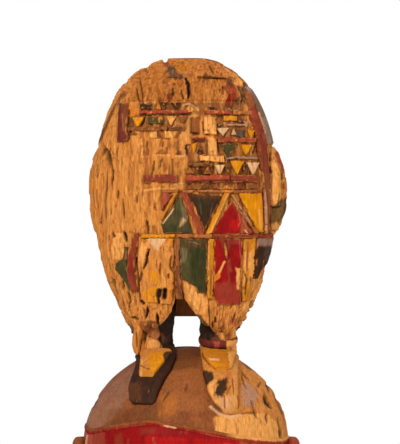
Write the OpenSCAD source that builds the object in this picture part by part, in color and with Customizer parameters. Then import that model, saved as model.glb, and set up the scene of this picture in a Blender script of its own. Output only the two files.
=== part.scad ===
// Carved ancestor figure: a costumed masquerader standing on a hollow helmet head.
// Millimetres, +Z up, the figure faces -Y, origin at the centre of the rim's underside.

/* [Helmet head] */
// Radius of the head at its widest circle
head_r = 103; // [98:1:108]
// Height of the head's widest circle
head_mid_z = 133; // [128:1:138]
// Outside radius of the rim collar
rim_r = 92; // [86:1:96]
// Height of the plain rim collar
rim_h = 22; // [18:1:26]
// Thickness of the carved wall
wall = 11; // [9:1:13]
// Radius of the tie holes in the rim collar
tie_hole_r = 2.5; // [2:0.1:3]
// Number of tie holes
tie_holes = 4; // [2:1:8]
// Height of the hairline on the head's axis
hairline_z = 150; // [148:1:154]
// Forward rise of the hairline, degrees
hairline_tilt = 5; // [0:0.5:6]
// Sideways lean of the hairline, degrees
hairline_lean = 3.5; // [0:0.5:4]
// How far the ears stand off the head
ear_out = 12; // [8:1:13]

/* [Costume] */
// Height of the figure's top
top_z = 524; // [518:1:530]
// Height where the costume starts to round over
shoulder_z = 400; // [396:1:404]
// Height of the costume's flat underside
under_z = 300; // [298:1:302]
// Width of the costume without the sleeves
costume_w = 180; // [176:1:186]
// Depth of the costume, front to back
costume_d = 104; // [96:1:110]
// Front-to-back place of the costume's centre
costume_y = -15; // [-17:1:-13]
// Squareness of the costume's section, 2 is an ellipse
section_power = 2.6; // [2.2:0.1:3]
// Height of the back apron's straight hem
apron_z = 266; // [262:1:270]
// How far the sleeves stand off the costume
sleeve_out = 10; // [6:1:12]

/* [Relief] */
// Gap between an applied field and the wood behind it
seat = 0.2; // [0.1:0.1:0.4]
// Height of the painted fields
field_lift = 2.4; // [1.5:0.1:3.2]
// Height of the raised laths and borders
lath_lift = 4.2; // [3:0.1:5]
// Height of the carved teeth
tooth_lift = 3.2; // [2:0.1:4]

/* [Legs and feet] */
// Distance of the leg axes in front of the head's axis
leg_front = 20; // [18:1:22]
// Place of the left leg's axis
leg_left_x = -30; // [-32:1:-28]
// Place of the right leg's axis
leg_right_x = 32; // [30:1:34]
// Radius of a leg at the ankle
ankle_r = 16.5; // [14:0.5:18]
// Thickness of a shoe
shoe_h = 8; // [6:0.5:10]
// Thickness of a trouser cuff
cuff_h = 5; // [3:0.5:7]

/* [Hidden] */
$fn = 96;
head_taper = head_r - rim_r;
crown_z = head_mid_z + head_r;
ridge_h = (hairline_z - head_mid_z) * cos(hairline_tilt) * cos(hairline_lean);
hem_z = 268;
leg_clear = 0.3;

bare_wood = [0.80, 0.50, 0.25];
black_paint = [0.24, 0.15, 0.09];
brown_paint = [0.50, 0.28, 0.14];
dome_brown = [0.52, 0.33, 0.20];
green_paint = [0.30, 0.26, 0.13];
grey_paint = [0.57, 0.45, 0.38];
red_paint = [0.63, 0.07, 0.07];
dull_red_paint = [0.50, 0.22, 0.13];
yellow_paint = [0.85, 0.53, 0.02];
pale_paint = [0.80, 0.68, 0.52];

// ---------- closed solids from grids of points ----------

// A slab between two grids of points: rows run up, columns run anticlockwise seen from above.
module slab(outer, inner) {
    rows = len(outer);
    cols = len(outer[0]);
    count = rows * cols;
    last = rows - 1;
    side = cols - 1;
    skin = [for (i = [0 : last - 1]) for (j = [0 : side - 1])
        let (a = i * cols + j, b = a + 1, c = a + cols, d = c + 1)
        each [[a, d, b], [a, c, d]]];
    lining = [for (f = skin) [f[0] + count, f[2] + count, f[1] + count]];
    bottom = [for (j = [0 : side - 1]) each edge_faces(j, j + 1, count)];
    top = [for (j = [0 : side - 1]) each edge_faces(last * cols + j + 1, last * cols + j, count)];
    start = [for (i = [0 : last - 1]) each edge_faces((i + 1) * cols, i * cols, count)];
    end = [for (i = [0 : last - 1]) each edge_faces(i * cols + side, (i + 1) * cols + side, count)];
    polyhedron(
        points = concat([for (row = outer) each row], [for (row = inner) each row]),
        faces = concat(skin, lining, bottom, top, start, end));
}

// The two triangles that close a slab along the edge from point a to point b.
function edge_faces(a, b, count) = [[a, b, b + count], [a, b + count, a + count]];

// A solid through closed rings of points, listed from the bottom up.
module loft(rings) {
    cols = len(rings[0]);
    last = len(rings) - 1;
    sides = [for (i = [0 : last - 1]) for (j = [0 : cols - 1])
        let (k = (j + 1) % cols, a = i * cols + j, b = i * cols + k, c = a + cols, d = b + cols)
        each [[a, d, b], [a, c, d]]];
    polyhedron(
        points = [for (ring = rings) each ring],
        faces = concat(sides,
            [[for (j = [0 : cols - 1]) j]],
            [[for (j = [cols - 1 : -1 : 0]) last * cols + j]]));
}

function steps(count) = [for (i = [0 : count]) i / count];
function mix(a, b, t) = a + (b - a) * t;

// ---------- the costume's surface ----------

function rounded(t) = pow(max(1 - pow(max(t, 0), 1.8), 0), 1 / 2.6);
function rise(z) = (z - shoulder_z) / (top_z - shoulder_z);
function fall(z) = max((shoulder_z - z) / (shoulder_z - hem_z), 0);
function half_w(z) = costume_w / 2 * rounded(rise(z)) - 27 * pow(fall(z), 2.4);
function half_d(z) = costume_d / 2 * rounded(rise(z)) - 12 * pow(fall(z), 1.5);

function signed_power(v, e) = sign(v) * pow(abs(v), e);

// Point on the costume at an angle about its axis: 0 is +X, -90 is the front.
function skin_point(angle, z, lift = 0) =
    let (
        c = cos(angle),
        s = sin(angle),
        e = 2 / section_power,
        w = half_w(z),
        d = half_d(z),
        n = [signed_power(c, 2 - e) / w, signed_power(s, 2 - e) / d],
        out = n / norm(n))
    [
        w * signed_power(c, e) + lift * out[0],
        costume_y + d * signed_power(s, e) + lift * out[1],
        z
    ];

// Angle of the front point at a given x.
function front_angle(x, z) =
    let (a = acos(pow(min(abs(x) / half_w(z), 1), section_power / 2)))
    x >= 0 ? -a : a - 180;

// A field on the front of the costume. Each row is [z, left x, right x], listed from the bottom up.
module field(rows, lift, cols = 8, between = 2) {
    fine = [for (i = [0 : len(rows) - 2]) each
        [for (k = [0 : between - 1]) mix(rows[i], rows[i + 1], k / between)], rows[len(rows) - 1]];
    slab(
        [for (r = fine) [for (t = steps(cols)) front_point(mix(r[1], r[2], t), r[0], lift)]],
        [for (r = fine) [for (t = steps(cols)) front_point(mix(r[1], r[2], t), r[0], seat)]]);
}

function front_point(x, z, lift) = skin_point(front_angle(x, z), z, lift);

// A level lath across the front.
module lath(x_left, x_right, z_low, z_high) {
    field([[z_low, x_left, x_right], [z_high, x_left, x_right]], lath_lift, 14, 1);
}

// A level row of teeth: the tips point down, or up when tips_up is true.
module tooth_row(x_left, x_right, z_low, z_high, teeth, tips_up = false) {
    cols = 2 * teeth;
    root = 0.35 * (z_high - z_low);
    low = [for (i = [0 : cols]) tips_up || i % 2 == 1 ? z_low : z_high - root];
    high = [for (i = [0 : cols]) !tips_up || i % 2 == 1 ? z_high : z_low + root];
    x_at = [for (t = steps(cols)) mix(x_left, x_right, t)];
    slab(
        [for (t = steps(2)) [for (i = [0 : cols]) front_point(x_at[i], mix(low[i], high[i], t), tooth_lift)]],
        [for (t = steps(2)) [for (i = [0 : cols]) front_point(x_at[i], mix(low[i], high[i], t), seat)]]);
}

// Inner and outer edge of the borders that frame the toothed panel, by height.
function border_in(z) = lookup(z, [[347, 76], [392, 75], [417, 72], [442, 69], [467, 62], [482, 58], [495, 51]]);
function border_out(z) = border_in(z) + lookup(z, [[347, 4.5], [417, 7], [482, 8], [495, 6]]);

// ---------- helmet head ----------

function head_radius(z) = z > head_mid_z
    ? sqrt(pow(head_r, 2) - pow(z - head_mid_z, 2))
    : head_r - head_taper * pow((head_mid_z - z) / (head_mid_z - rim_h), 2);

function arc_points(r) = [for (t = steps(20)) [r * sin(90 * t), head_mid_z + r * cos(90 * t)]];
function cheek_points(inset) = [for (t = steps(10))
    let (z = mix(head_mid_z, rim_h, t)) [head_radius(z) - inset, z]];

module head_wall() {
    outside = concat(arc_points(head_r), [for (i = [1 : 10]) cheek_points(0)[i]]);
    inside = concat([for (i = [10 : -1 : 1]) cheek_points(wall)[i]],
        [for (i = [20 : -1 : 0]) arc_points(head_r - wall)[i]]);
    rotate_extrude() polygon(concat(outside, inside));
}

// Puts its children on the hairline's tilted axis, with the head's centre as origin.
module on_hairline() {
    translate([0, 0, head_mid_z]) rotate([-hairline_tilt, hairline_lean, 0]) children();
}

module rim_collar() {
    color(dull_red_paint) difference() {
        cylinder(h = rim_h, r = rim_r);
        translate([0, 0, -1]) cylinder(h = rim_h + 2, r = rim_r - wall);
        for (k = [0 : tie_holes - 1])
            rotate([0, 0, 45 + 360 / tie_holes * k]) translate([rim_r - wall - 4, 0, rim_h / 2])
                rotate([0, 90, 0]) cylinder(h = wall + 8, r = tie_hole_r);
    }
}

module face_shell() {
    color(red_paint) difference() {
        head_wall();
        on_hairline() translate([-150, -150, ridge_h]) cube([300, 300, 150]);
    }
}

module hair_cap() {
    color(dome_brown) difference() {
        head_wall();
        on_hairline() translate([-150, -150, ridge_h - 200]) cube([300, 300, 200]);
    }
}

module hairline_ridge() {
    half = 3.5;
    inner = [for (t = steps(6)) let (h = ridge_h + half * (2 * t - 1)) [sqrt(pow(head_r + seat, 2) - h * h), h]];
    crest = [for (t = [1, 0.8, 0.5, 0.2, 0])
        let (h = ridge_h + half * (2 * t - 1)) [sqrt(pow(head_r + 0.8, 2) - h * h) + 1.9 * sin(180 * t), h]];
    color(pale_paint) on_hairline() rotate_extrude() polygon(concat(inner, crest));
}

// Point on the head at a bearing from the front, positive towards +X.
function head_point(bearing, z, lift) =
    let (r = head_radius(z) + lift) [r * sin(bearing), -r * cos(bearing), z];

// A carved feature on the head. shape(u, v) gives [bearing, z, lift] for u and v from -1 to 1.
module feature(shape, cols, rows) {
    us = [for (t = steps(cols)) 2 * t - 1];
    vs = [for (t = steps(rows)) 2 * t - 1];
    slab(
        [for (v = vs) [for (u = us) let (s = shape(u, v)) head_point(s[0], s[1], max(s[2], 0.8))]],
        [for (v = vs) [for (u = us) let (s = shape(u, v)) head_point(s[0], s[1], 0.4)]]);
}

function dome_round(t) = sqrt(max(1 - t * t, 0));

module ear(side, out) {
    feature(function(u, v) [
        side * 88 + 12 * u * (0.8 + 0.2 * v) * dome_round(0.8 * v),
        117 + 28 * v,
        out * pow(dome_round(0.96 * u), 0.7) * pow(dome_round(0.94 * v), 0.6)], 10, 12);
}

module ear_left() {
    color(brown_paint) ear(-1, ear_out);
}

module ear_right() {
    color(dull_red_paint) ear(1, ear_out);
}

module brows() {
    color(black_paint) for (side = [-1, 1])
        feature(function(u, v) [
            side * 24 + 17 * u,
            114 + 6 * dome_round(0.8 * (u + 0.2 * side)) + 3.2 * v * (1 - 0.5 * pow(abs(u), 3)),
            5 * dome_round(0.9 * v) * (1 - 0.6 * u * u)], 14, 4);
}

module eyes() {
    color(pale_paint) for (side = [-1, 1])
        feature(function(u, v) [
            side * 24 + 14 * u,
            100 + 10.5 * v * pow(dome_round(0.97 * u), 1.1),
            8 * dome_round(0.97 * v) * dome_round(0.9 * u)], 12, 8);
}

module nose() {
    color(red_paint) feature(function(u, v)
        let (low = (1 - v) / 2, width = 4.5 + 7.5 * pow(low, 2))
        [
            width * u,
            86 + 24 * v,
            (4 + 17 * pow(low, 1.3) * (v < -0.8 ? 0.86 : 1)) * pow(dome_round(0.95 * u), 0.8)
        ], 10, 12);
}

module lips() {
    color(dull_red_paint) for (part = [[51, 4, 17, 8], [41, 4.4, 15, 9]])
        feature(function(u, v) [
            part[2] * u,
            part[0] + part[1] * v * (1 - 0.55 * u * u) + (part[0] > 46 ? 1.6 : -1.6) * (1 - u * u),
            part[3] * dome_round(0.94 * v) * dome_round(0.93 * u)], 12, 5);
}

module forehead_marks() {
    color(pale_paint) for (x = [-30, -6, 19])
        feature(function(u, v) [asin(x / head_r) + 1.8 * u, 133 + 11 * v, 2.4 * dome_round(0.8 * u)], 2, 5);
}

// ---------- feet, cuffs and legs ----------

// Point on the crown above plan position x, y.
function crown_point(x, y, lift) =
    let (z = sqrt(max(pow(head_r, 2) - x * x - y * y, 0)), k = 1 + lift / head_r)
    [k * x, k * y, head_mid_z + k * z];

// A piece lying on the crown. Each row is [y, middle x, half width], from the toe back to the heel.
module on_crown(rows, low, high, crown = 0.5) {
    us = [for (t = steps(10)) 2 * t - 1];
    slab(
        [for (r = rows) [for (u = us)
            crown_point(r[1] + r[2] * u, r[0], low + 0.4 + (high - low - 0.4) * pow(dome_round(0.96 * u), crown))]],
        [for (r = rows) [for (u = us) crown_point(r[1] + r[2] * u, r[0], low)]]);
}

module shoe_left() {
    color(black_paint) on_crown([[-81, -44, 11], [-78, -44, 13.5], [-70, -42.5, 15.5], [-55, -38, 18],
        [-38, -33, 19], [-15, -30, 19], [-4, -30, 16], [2, -30, 10]], 0.4, shoe_h);
}

module shoe_right() {
    color(black_paint) on_crown([[-88, 40, 8], [-84, 39, 12], [-76, 37, 15], [-60, 35, 17],
        [-38, 33, 18.5], [-15, 32, 19], [-4, 32, 16], [2, 32, 10]], 0.4, shoe_h);
}

module cuff_left() {
    color(yellow_paint) on_crown([[-72, -38, 7.5], [-62, -35, 11], [-50, -32, 14], [-38.5, -30, 16]],
        shoe_h + 0.3, shoe_h + cuff_h);
}

module cuff_right() {
    color(yellow_paint) on_crown([[-70, 35, 9], [-60, 34, 12], [-49, 33, 15], [-39, 32, 17]],
        shoe_h + 0.3, shoe_h + cuff_h);
}

function leg_radius(z) = ankle_r + lookup(z, [[200, 1], [240, 0], [256, 1], [275, 3], [290, 4.5], [310, 4.5]]);

module leg_post(x, grow) {
    heights = [205, 226, 240, 256, 275, 290, under_z - seat + grow];
    translate([x, -leg_front, 0]) rotate_extrude()
        polygon(concat([[0, heights[0]]], [for (z = heights) [leg_radius(z) + grow, z]], [[0, heights[6]]]));
}

module leg(x) {
    difference() {
        leg_post(x, 0);
        translate([0, 0, head_mid_z]) sphere(head_r + shoe_h + leg_clear);
    }
}

module leg_left() {
    color(black_paint) leg(leg_left_x);
}

module leg_right() {
    color(black_paint) leg(leg_right_x);
}

// A band round the right ankle, tilted down towards the toe.
module anklet_right() {
    color(dull_red_paint) translate([leg_right_x, -leg_front, 244.4]) rotate([10, 0, 0]) rotate_extrude()
        polygon([[ankle_r + 1.1, -3], [ankle_r + 2.9, -2], [ankle_r + 2.9, 2], [ankle_r + 1.5, 3]]);
}

// ---------- costume ----------

module costume_core() {
    heights = [under_z, 312, 326, 345, 370, 400, 425, 445, 460, 473, 484, 494, 502.6];
    color(bare_wood) loft([for (z = heights) [for (t = [0 : 47]) skin_point(t * 7.5, z)]]);
}

module hood_crown() {
    heights = [503, 508, 513, 517, 520, 522.2, 523.4];
    color(bare_wood) loft([for (z = heights) [for (t = [0 : 47]) skin_point(t * 7.5, z, 1)]]);
}

// The front half of the costume's section between two x values, closed along its middle plane.
function front_ring(z, x_left, x_right) =
    let (a = front_angle(x_left, z), b = front_angle(x_right, z), back = costume_y - seat)
    concat(
        [for (t = steps(18)) skin_point(mix(a, b, t), z)],
        [for (x = [x_right, x_left]) [x, back, z]]);

module skirt_lobe(rings) {
    difference() {
        loft(rings);
        leg_post(leg_left_x, leg_clear);
        leg_post(leg_right_x, leg_clear);
    }
}

module skirt_lobe_left() {
    color(bare_wood) skirt_lobe([for (r = [[255, -53, -27], [262, -59, -21], [270, -66, -15.5],
        [282, -half_w(282) + 1, -11], [under_z - seat, -half_w(under_z) + 1, -8.5]]) front_ring(r[0], r[1], r[2])]);
}

module skirt_lobe_right() {
    color(bare_wood) skirt_lobe([for (r = [[253, 31, 52], [262, 22, 59], [270, 13, 65],
        [282, 2, half_w(282) - 1], [under_z - seat, -4.5, half_w(under_z) - 1]]) front_ring(r[0], r[1], r[2])]);
}

module back_apron() {
    heights = [apron_z, 276, 288, under_z - seat];
    color(brown_paint) difference() {
        loft([for (z = heights) concat(
            [for (t = steps(20)) skin_point(mix(4, 176, t), z)],
            [for (side = [-1, 1]) [side * (half_w(z) - 3), costume_y + seat, z]])]);
        leg_post(leg_left_x, leg_clear);
        leg_post(leg_right_x, leg_clear);
    }
}

// A sleeve lobe on the flank: angles run from angle_a to angle_b, z from 347 to 435.
module sleeve(angle_a, angle_b) {
    function swell(u, v) = 0.8 + (sleeve_out - 0.8) * pow(sin(180 * u), 0.6) * pow(sin(180 * v), 0.55);
    function bowed(a, b, u, v) = mix(mix(a, b, 0.5), u < 0.5 ? a : b, abs(2 * u - 1) * (0.45 + 0.55 * sin(180 * v)));
    slab(
        [for (v = steps(12)) [for (u = steps(12))
            skin_point(bowed(angle_a, angle_b, u, v), mix(347, 435, v), swell(u, v))]],
        [for (v = steps(12)) [for (u = steps(12))
            skin_point(bowed(angle_a, angle_b, u, v), mix(347, 435, v), seat)]]);
}

module sleeve_left() {
    color(bare_wood) sleeve(146, 209);
}

module sleeve_right() {
    color(bare_wood) sleeve(-29, 34);
}

// A field between two angles of the costume, from z_low to z_high.
module flank(angle_low, angle_high, z_low, z_high, cols) {
    slab(
        [for (v = steps(6)) [for (u = steps(cols))
            skin_point(mix(angle_low, angle_high, u), mix(z_low, z_high, v), field_lift)]],
        [for (v = steps(6)) [for (u = steps(cols))
            skin_point(mix(angle_low, angle_high, u), mix(z_low, z_high, v), seat)]]);
}

module side_panel_right() {
    inner = [for (v = steps(6)) let (z = mix(437, 494, v)) [z, front_angle(border_out(z) + 0.6, z)]];
    color(grey_paint) slab(
        [for (r = inner) [for (u = steps(8)) skin_point(mix(r[1], 40, u), r[0], field_lift)]],
        [for (r = inner) [for (u = steps(8)) skin_point(mix(r[1], 40, u), r[0], seat)]]);
}

module back_panel() {
    color(brown_paint) flank(44, 138, 304, 498, 16);
}

module hood_panel() {
    color(bare_wood) field([[478.4, -58, 58], [490, -52, 51], [502.4, -42, 42]], field_lift, 14);
}

module border(side, heights) {
    edge = [for (z = heights) side > 0 ? [z, border_in(z), border_out(z)] : [z, -border_out(z), -border_in(z)]];
    field(edge, lath_lift, 3, 1);
}

module border_left() {
    color(dull_red_paint) border(-1, [439, 448, 457, 467, 475, 484, 492]);
}

module border_right() {
    color(dull_red_paint) border(1, [347.6, 370, 392, 405, 417, 430, 442, 455, 467, 475, 482, 492]);
}

// Right end of a level member, just inside the border.
function right_end(z) = border_in(z) - 0.6;

module tooth_row_1() {
    color(black_paint) tooth_row(-57.5, right_end(478), 469.6, 478, 12, true);
}

module tooth_row_2() {
    color(pale_paint) tooth_row(-60, right_end(465), 452.2, 464.8, 11);
}

module tooth_row_3() {
    color(pale_paint) tooth_row(-46, right_end(449), 443.2, 448.9, 11);
}

module tooth_row_4() {
    color(black_paint) tooth_row(-42, right_end(439), 426.8, 438.8, 8);
}

module tooth_row_5() {
    color(yellow_paint) tooth_row(-42, right_end(423), 407, 426.5, 8);
}

module tooth_row_6() {
    color(brown_paint) tooth_row(-42, right_end(399), 392, 398.6, 9, true);
}

module lath_1() {
    color(red_paint) lath(-57.5, right_end(469.4), 465, 469.4);
}

module lath_2() {
    color(black_paint) lath(-60, right_end(452), 449.1, 452);
}

module lath_3() {
    color(dull_red_paint) lath(-46, right_end(443), 439, 443);
}

module lath_5() {
    color(red_paint) lath(-42, right_end(406.8), 398.8, 406.8);
}

module lath_6() {
    color(brown_paint) lath(-42, right_end(391.8), 388.8, 391.8);
}

// ---------- the band of large triangles ----------

module triangle_pink() {
    color(red_paint) field([[350, -40, -37], [388.6, -52, -10.5]], field_lift);
}

module triangle_green() {
    color(green_paint) field([[347.8, -30, 11], [385, -5.5, -4.5]], field_lift);
}

module triangle_black() {
    color(black_paint) field([[352, 17.5, 18.5], [388.6, 2, 37]], field_lift);
}

module triangle_red() {
    color(red_paint) field([[347.8, 26.5, 66.5], [381, 44.5, 45.5]], field_lift);
}

module triangle_yellow() {
    color(yellow_paint) field([[349, 73.5, 75], [388.6, 49.5, 74.4]], field_lift);
}

module slant_lath_yellow() {
    color(yellow_paint) field([[347.8, -36, -31], [388.6, -10, -5.8]], lath_lift, 3, 4);
}

module slant_lath_red() {
    color(red_paint) field([[347.8, 11.8, 18.4], [388.6, -4, 1.4]], lath_lift, 3, 4);
}

module slant_lath_gold() {
    color(yellow_paint) field([[347.8, 19.2, 25.8], [388.6, 37.8, 43]], lath_lift, 3, 4);
}

module slant_lath_brown() {
    color(brown_paint) field([[347.8, 67.4, 72.8], [388.6, 43.8, 48.6]], lath_lift, 3, 4);
}

module waist_lath() {
    color(brown_paint) lath(-42, 83, 344.6, 347.4);
}

// ---------- the skirt's hanging fields ----------

module field_green_left() {
    color(green_paint) field([[296, -60, -57], [306, -66, -57.8], [318, -70, -58.2], [328, -62, -58.2],
        [336, -60.4, -57.6]], field_lift, 4);
}

module strip_red_left() {
    color(red_paint) field([[290, -51, -46.5], [302, -54.5, -48.8], [312, -57, -49.4], [322, -57, -50],
        [337, -55, -48.8], [344.3, -50.5, -45.5]], lath_lift, 3);
}

module field_yellow_left() {
    color(yellow_paint) field([[280, -40, -13], [292, -46, -12], [312, -48.8, -11.4], [322, -49.4, -11.4],
        [337, -48.2, -11.6], [344.3, -44.8, -11.6]], field_lift);
}

module strip_brown_centre() {
    color(brown_paint) field([[301, -10.8, -5], [322, -10.8, -5.2], [344.3, -11, -5.2]], lath_lift, 3);
}

module field_green_centre() {
    color(green_paint) field([[291, 11, 20.4], [299, 5, 20.6], [306, -4.4, 20.8], [344.3, -4.6, 21.2]], field_lift);
}

module strip_yellow_centre() {
    color(yellow_paint) field([[283, 21.4, 27.2], [310, 21.4, 27.6], [344.3, 21.8, 28.2]], lath_lift, 3);
}

module field_red_centre() {
    color(red_paint) field([[279, 30, 53.6], [300, 28, 53.8], [344.3, 28.8, 55.8]], field_lift);
}

module strip_yellow_right() {
    color(yellow_paint) field([[281, 54.6, 62], [305, 54.4, 67.4], [344.3, 56.4, 68.2]], lath_lift, 3);
}

module field_black_right() {
    color(black_paint) field([[306, 68.6, 73], [316, 68.8, 79], [330, 68.8, 83], [344.3, 69, 85]], field_lift);
}

rim_collar();
face_shell();
hair_cap();
hairline_ridge();
ear_left();
ear_right();
brows();
eyes();
nose();
lips();
forehead_marks();
shoe_left();
shoe_right();
cuff_left();
cuff_right();
leg_left();
leg_right();
anklet_right();
costume_core();
hood_crown();
skirt_lobe_left();
skirt_lobe_right();
back_apron();
sleeve_left();
sleeve_right();
side_panel_right();
back_panel();
hood_panel();
border_left();
border_right();
tooth_row_1();
tooth_row_2();
tooth_row_3();
tooth_row_4();
tooth_row_5();
tooth_row_6();
lath_1();
lath_2();
lath_3();
lath_5();
lath_6();
triangle_pink();
triangle_green();
triangle_black();
triangle_red();
triangle_yellow();
slant_lath_yellow();
slant_lath_red();
slant_lath_gold();
slant_lath_brown();
waist_lath();
field_green_left();
strip_red_left();
field_yellow_left();
strip_brown_centre();
field_green_centre();
strip_yellow_centre();
field_red_centre();
strip_yellow_right();
field_black_right();
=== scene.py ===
"""Looks of a carved masquerader standing on a hollow helmet head: worn painted wood on a pale stage."""

import bpy
import numpy as np
from bpy.props import FloatProperty, FloatVectorProperty, PointerProperty
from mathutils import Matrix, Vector


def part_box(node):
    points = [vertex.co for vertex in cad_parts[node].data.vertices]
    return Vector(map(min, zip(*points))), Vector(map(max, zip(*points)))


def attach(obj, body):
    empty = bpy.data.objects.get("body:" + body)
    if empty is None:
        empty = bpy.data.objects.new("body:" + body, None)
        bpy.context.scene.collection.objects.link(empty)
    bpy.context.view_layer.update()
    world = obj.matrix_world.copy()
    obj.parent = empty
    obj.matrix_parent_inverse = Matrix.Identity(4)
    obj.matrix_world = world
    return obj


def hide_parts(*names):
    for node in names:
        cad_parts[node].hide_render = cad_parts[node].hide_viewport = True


bl_info = {
    "name": "Carved Masquerade Headdress",
    "version": (1, 0, 0),
    "blender": (4, 5, 0),
    "location": "3D View > Sidebar > Carving",
    "description": "Builds the worn painted wood of a carved masquerade headdress and its stage",
    "category": "Object",
}

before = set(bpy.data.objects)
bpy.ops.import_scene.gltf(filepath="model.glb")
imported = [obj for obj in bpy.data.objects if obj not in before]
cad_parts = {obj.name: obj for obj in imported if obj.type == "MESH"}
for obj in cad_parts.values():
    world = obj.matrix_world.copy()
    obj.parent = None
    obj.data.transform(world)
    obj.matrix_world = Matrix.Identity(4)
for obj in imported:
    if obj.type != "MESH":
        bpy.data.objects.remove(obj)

MM = 0.001

# Linear colours of the wood and of the paints that survive on it.
COLOURS = {
    "wood": (0.56, 0.195, 0.036),
    "light": (0.77, 0.325, 0.078),
    "deep": (0.27, 0.075, 0.018),
    "cream": (0.66, 0.39, 0.19),
    "pale": (0.66, 0.36, 0.17),
    "black": (0.030, 0.015, 0.009),
    "dark": (0.046, 0.017, 0.008),
    "soot": (0.085, 0.055, 0.036),
    "plum": (0.12, 0.045, 0.040),
    "green": (0.062, 0.048, 0.015),
    "moss": (0.030, 0.030, 0.007),
    "olive": (0.17, 0.12, 0.055),
    "red": (0.25, 0.004, 0.004),
    "bright": (0.41, 0.006, 0.005),
    "pink": (0.43, 0.065, 0.040),
    "brick": (0.33, 0.052, 0.022),
    "dull": (0.225, 0.036, 0.015),
    "maroon": (0.135, 0.022, 0.013),
    "yellow": (0.63, 0.222, 0.003),
    "ochre": (0.50, 0.17, 0.012),
    "orange": (0.62, 0.17, 0.012),
    "brown": (0.235, 0.066, 0.018),
    "umber": (0.13, 0.042, 0.014),
    "rust": (0.34, 0.105, 0.028),
    "grey": (0.285, 0.175, 0.12),
    "dust": (0.40, 0.21, 0.14),
}


# ---------- numbers and noise ----------

def join(*parts):
    """Coordinates side by side in a last axis, spread to one shape."""
    return np.stack(np.broadcast_arrays(*parts), -1)


def ease(value, low, high):
    """Smooth step from 0 at low to 1 at high."""
    t = np.clip((value - low) / (high - low), 0, 1)
    return t * t * (3 - 2 * t)


def hashed(i, j, k, seed):
    """Repeatable value from -1 to 1 for each corner of a lattice."""
    h = i * np.uint64(73856093) ^ j * np.uint64(19349663) ^ k * np.uint64(83492791)
    h = (h ^ np.uint64(seed * 7919 + 13)) & np.uint64(0xFFFFFFFF)
    for factor, shift in ((2246822519, 15), (3266489917, 13)):
        h = ((h ^ (h >> np.uint64(shift))) * np.uint64(factor)) & np.uint64(0xFFFFFFFF)
    return ((h ^ (h >> np.uint64(16))) & np.uint64(0xFFFFFF)).astype(float) / 8388608.0 - 1.0


def noise(points, size, seed=0):
    """Smooth noise from -1 to 1 with cells of the given size along x, y and z."""
    q = points / np.array(size, float)
    cell = np.floor(q)
    f = q - cell
    f = f * f * (3 - 2 * f)
    c = cell.astype(np.int64).astype(np.uint64)
    total = 0.0
    for corner in np.ndindex(2, 2, 2):
        weight = np.prod(np.abs(1 - np.array(corner) - f), -1)
        total = total + weight * hashed(*(c[..., a] + np.uint64(d) for a, d in enumerate(corner)), seed)
    return total


def layered(points, size, octaves=3, seed=0):
    """Noise with finer layers added, from about -1 to 1."""
    total, weight = 0.0, 1.0
    for o in range(octaves):
        total = total + weight * noise(points, np.array(size) / 2 ** o, seed + 17 * o)
        weight *= 0.55
    return total / 1.6


def blurred(field, reach):
    """Average of a grid over a square neighbourhood."""
    for axis in (0, 1):
        pad = [(reach, reach) if a == axis else (0, 0) for a in (0, 1)]
        wide = np.pad(field, pad, "edge")
        n = field.shape[axis]
        field = sum(np.take(wide, range(k, k + n), axis) for k in range(2 * reach + 1)) / (2 * reach + 1)
    return field


def line_distance(x, z, points):
    """Distance from each place to the line through the points."""
    best = np.full(x.shape, 1e9)
    for (ax, az), (bx, bz) in zip(points, points[1:]):
        dx, dz = bx - ax, bz - az
        t = np.clip(((x - ax) * dx + (z - az) * dz) / max(dx * dx + dz * dz, 1e-9), 0, 1)
        best = np.minimum(best, np.hypot(x - ax - t * dx, z - az - t * dz))
    return best


def inside_distance(x, z, points):
    """Distance to an outline's edge, positive inside."""
    ring = list(points) + [points[0]]
    inside = np.zeros(x.shape, bool)
    for (ax, az), (bx, bz) in zip(ring, ring[1:]):
        if az != bz:
            inside ^= ((az > z) != (bz > z)) & (x < (bx - ax) * (z - az) / (bz - az) + ax)
    edge = line_distance(x, z, ring)
    return np.where(inside, edge, -edge)


# ---------- the costume's and the head's surfaces, in millimetres ----------

LOW, HIGH = 0, 1
X, Y, Z = 0, 1, 2


def reach(node, corner, axis):
    """How far a node's box reaches, in millimetres."""
    return round(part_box(node)[corner][axis] / MM, 1)


# The costume: middle from front to back, height of the shoulder and of the top.
COSTUME_Y = -15.0
SHOULDER_Z = 400.0
TOP_Z = 524.0
# Half width and half depth at the shoulder, and how much of each is gone at TAPER_H below it.
HALF_W, HALF_D = 90, 52
LESS_W, LESS_D = 27, 12
TAPER_H = 132
# Squareness of the costume's section and of its rounded top: 2 is an ellipse.
SECTION = 2.6
TOP_SQUARE = 2.6
UNDER_Z = reach("costume_core", LOW, Z)
HEAD_R = reach("face_shell", HIGH, X)
HEAD_Z = reach("hair_cap", HIGH, Z) - HEAD_R
RIM_R = reach("rim_collar", HIGH, X)
RIM_H = reach("rim_collar", HIGH, Z)
WALL = 11.0
# The legs: radius of the calf, middle from front to back, and middle of each from side to side.
LEG_R = 16.5
LEG_Y = -20
LEG_X = {"leg_left": -30.0, "leg_right": 32.0}


def half_size(z, full, less, power):
    """Half width or depth of the costume: rounded above the shoulder, tapered below it."""
    rise = np.maximum((z - SHOULDER_Z) / (TOP_Z - SHOULDER_Z), 0)
    fall = np.maximum((SHOULDER_Z - z) / TAPER_H, 0)
    return full * np.maximum(1 - rise ** 1.8, 1e-5) ** (1 / TOP_SQUARE) - less * fall ** power


def half_width(z):
    """Half width of the costume at a height."""
    return half_size(z, HALF_W, LESS_W, 2.4)


def half_depth(z):
    """Half depth of the costume at a height."""
    return half_size(z, HALF_D, LESS_D, 1.5)


def signed_power(v, e):
    """Power of a number that keeps its sign."""
    return np.sign(v) * np.abs(v) ** e


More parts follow.
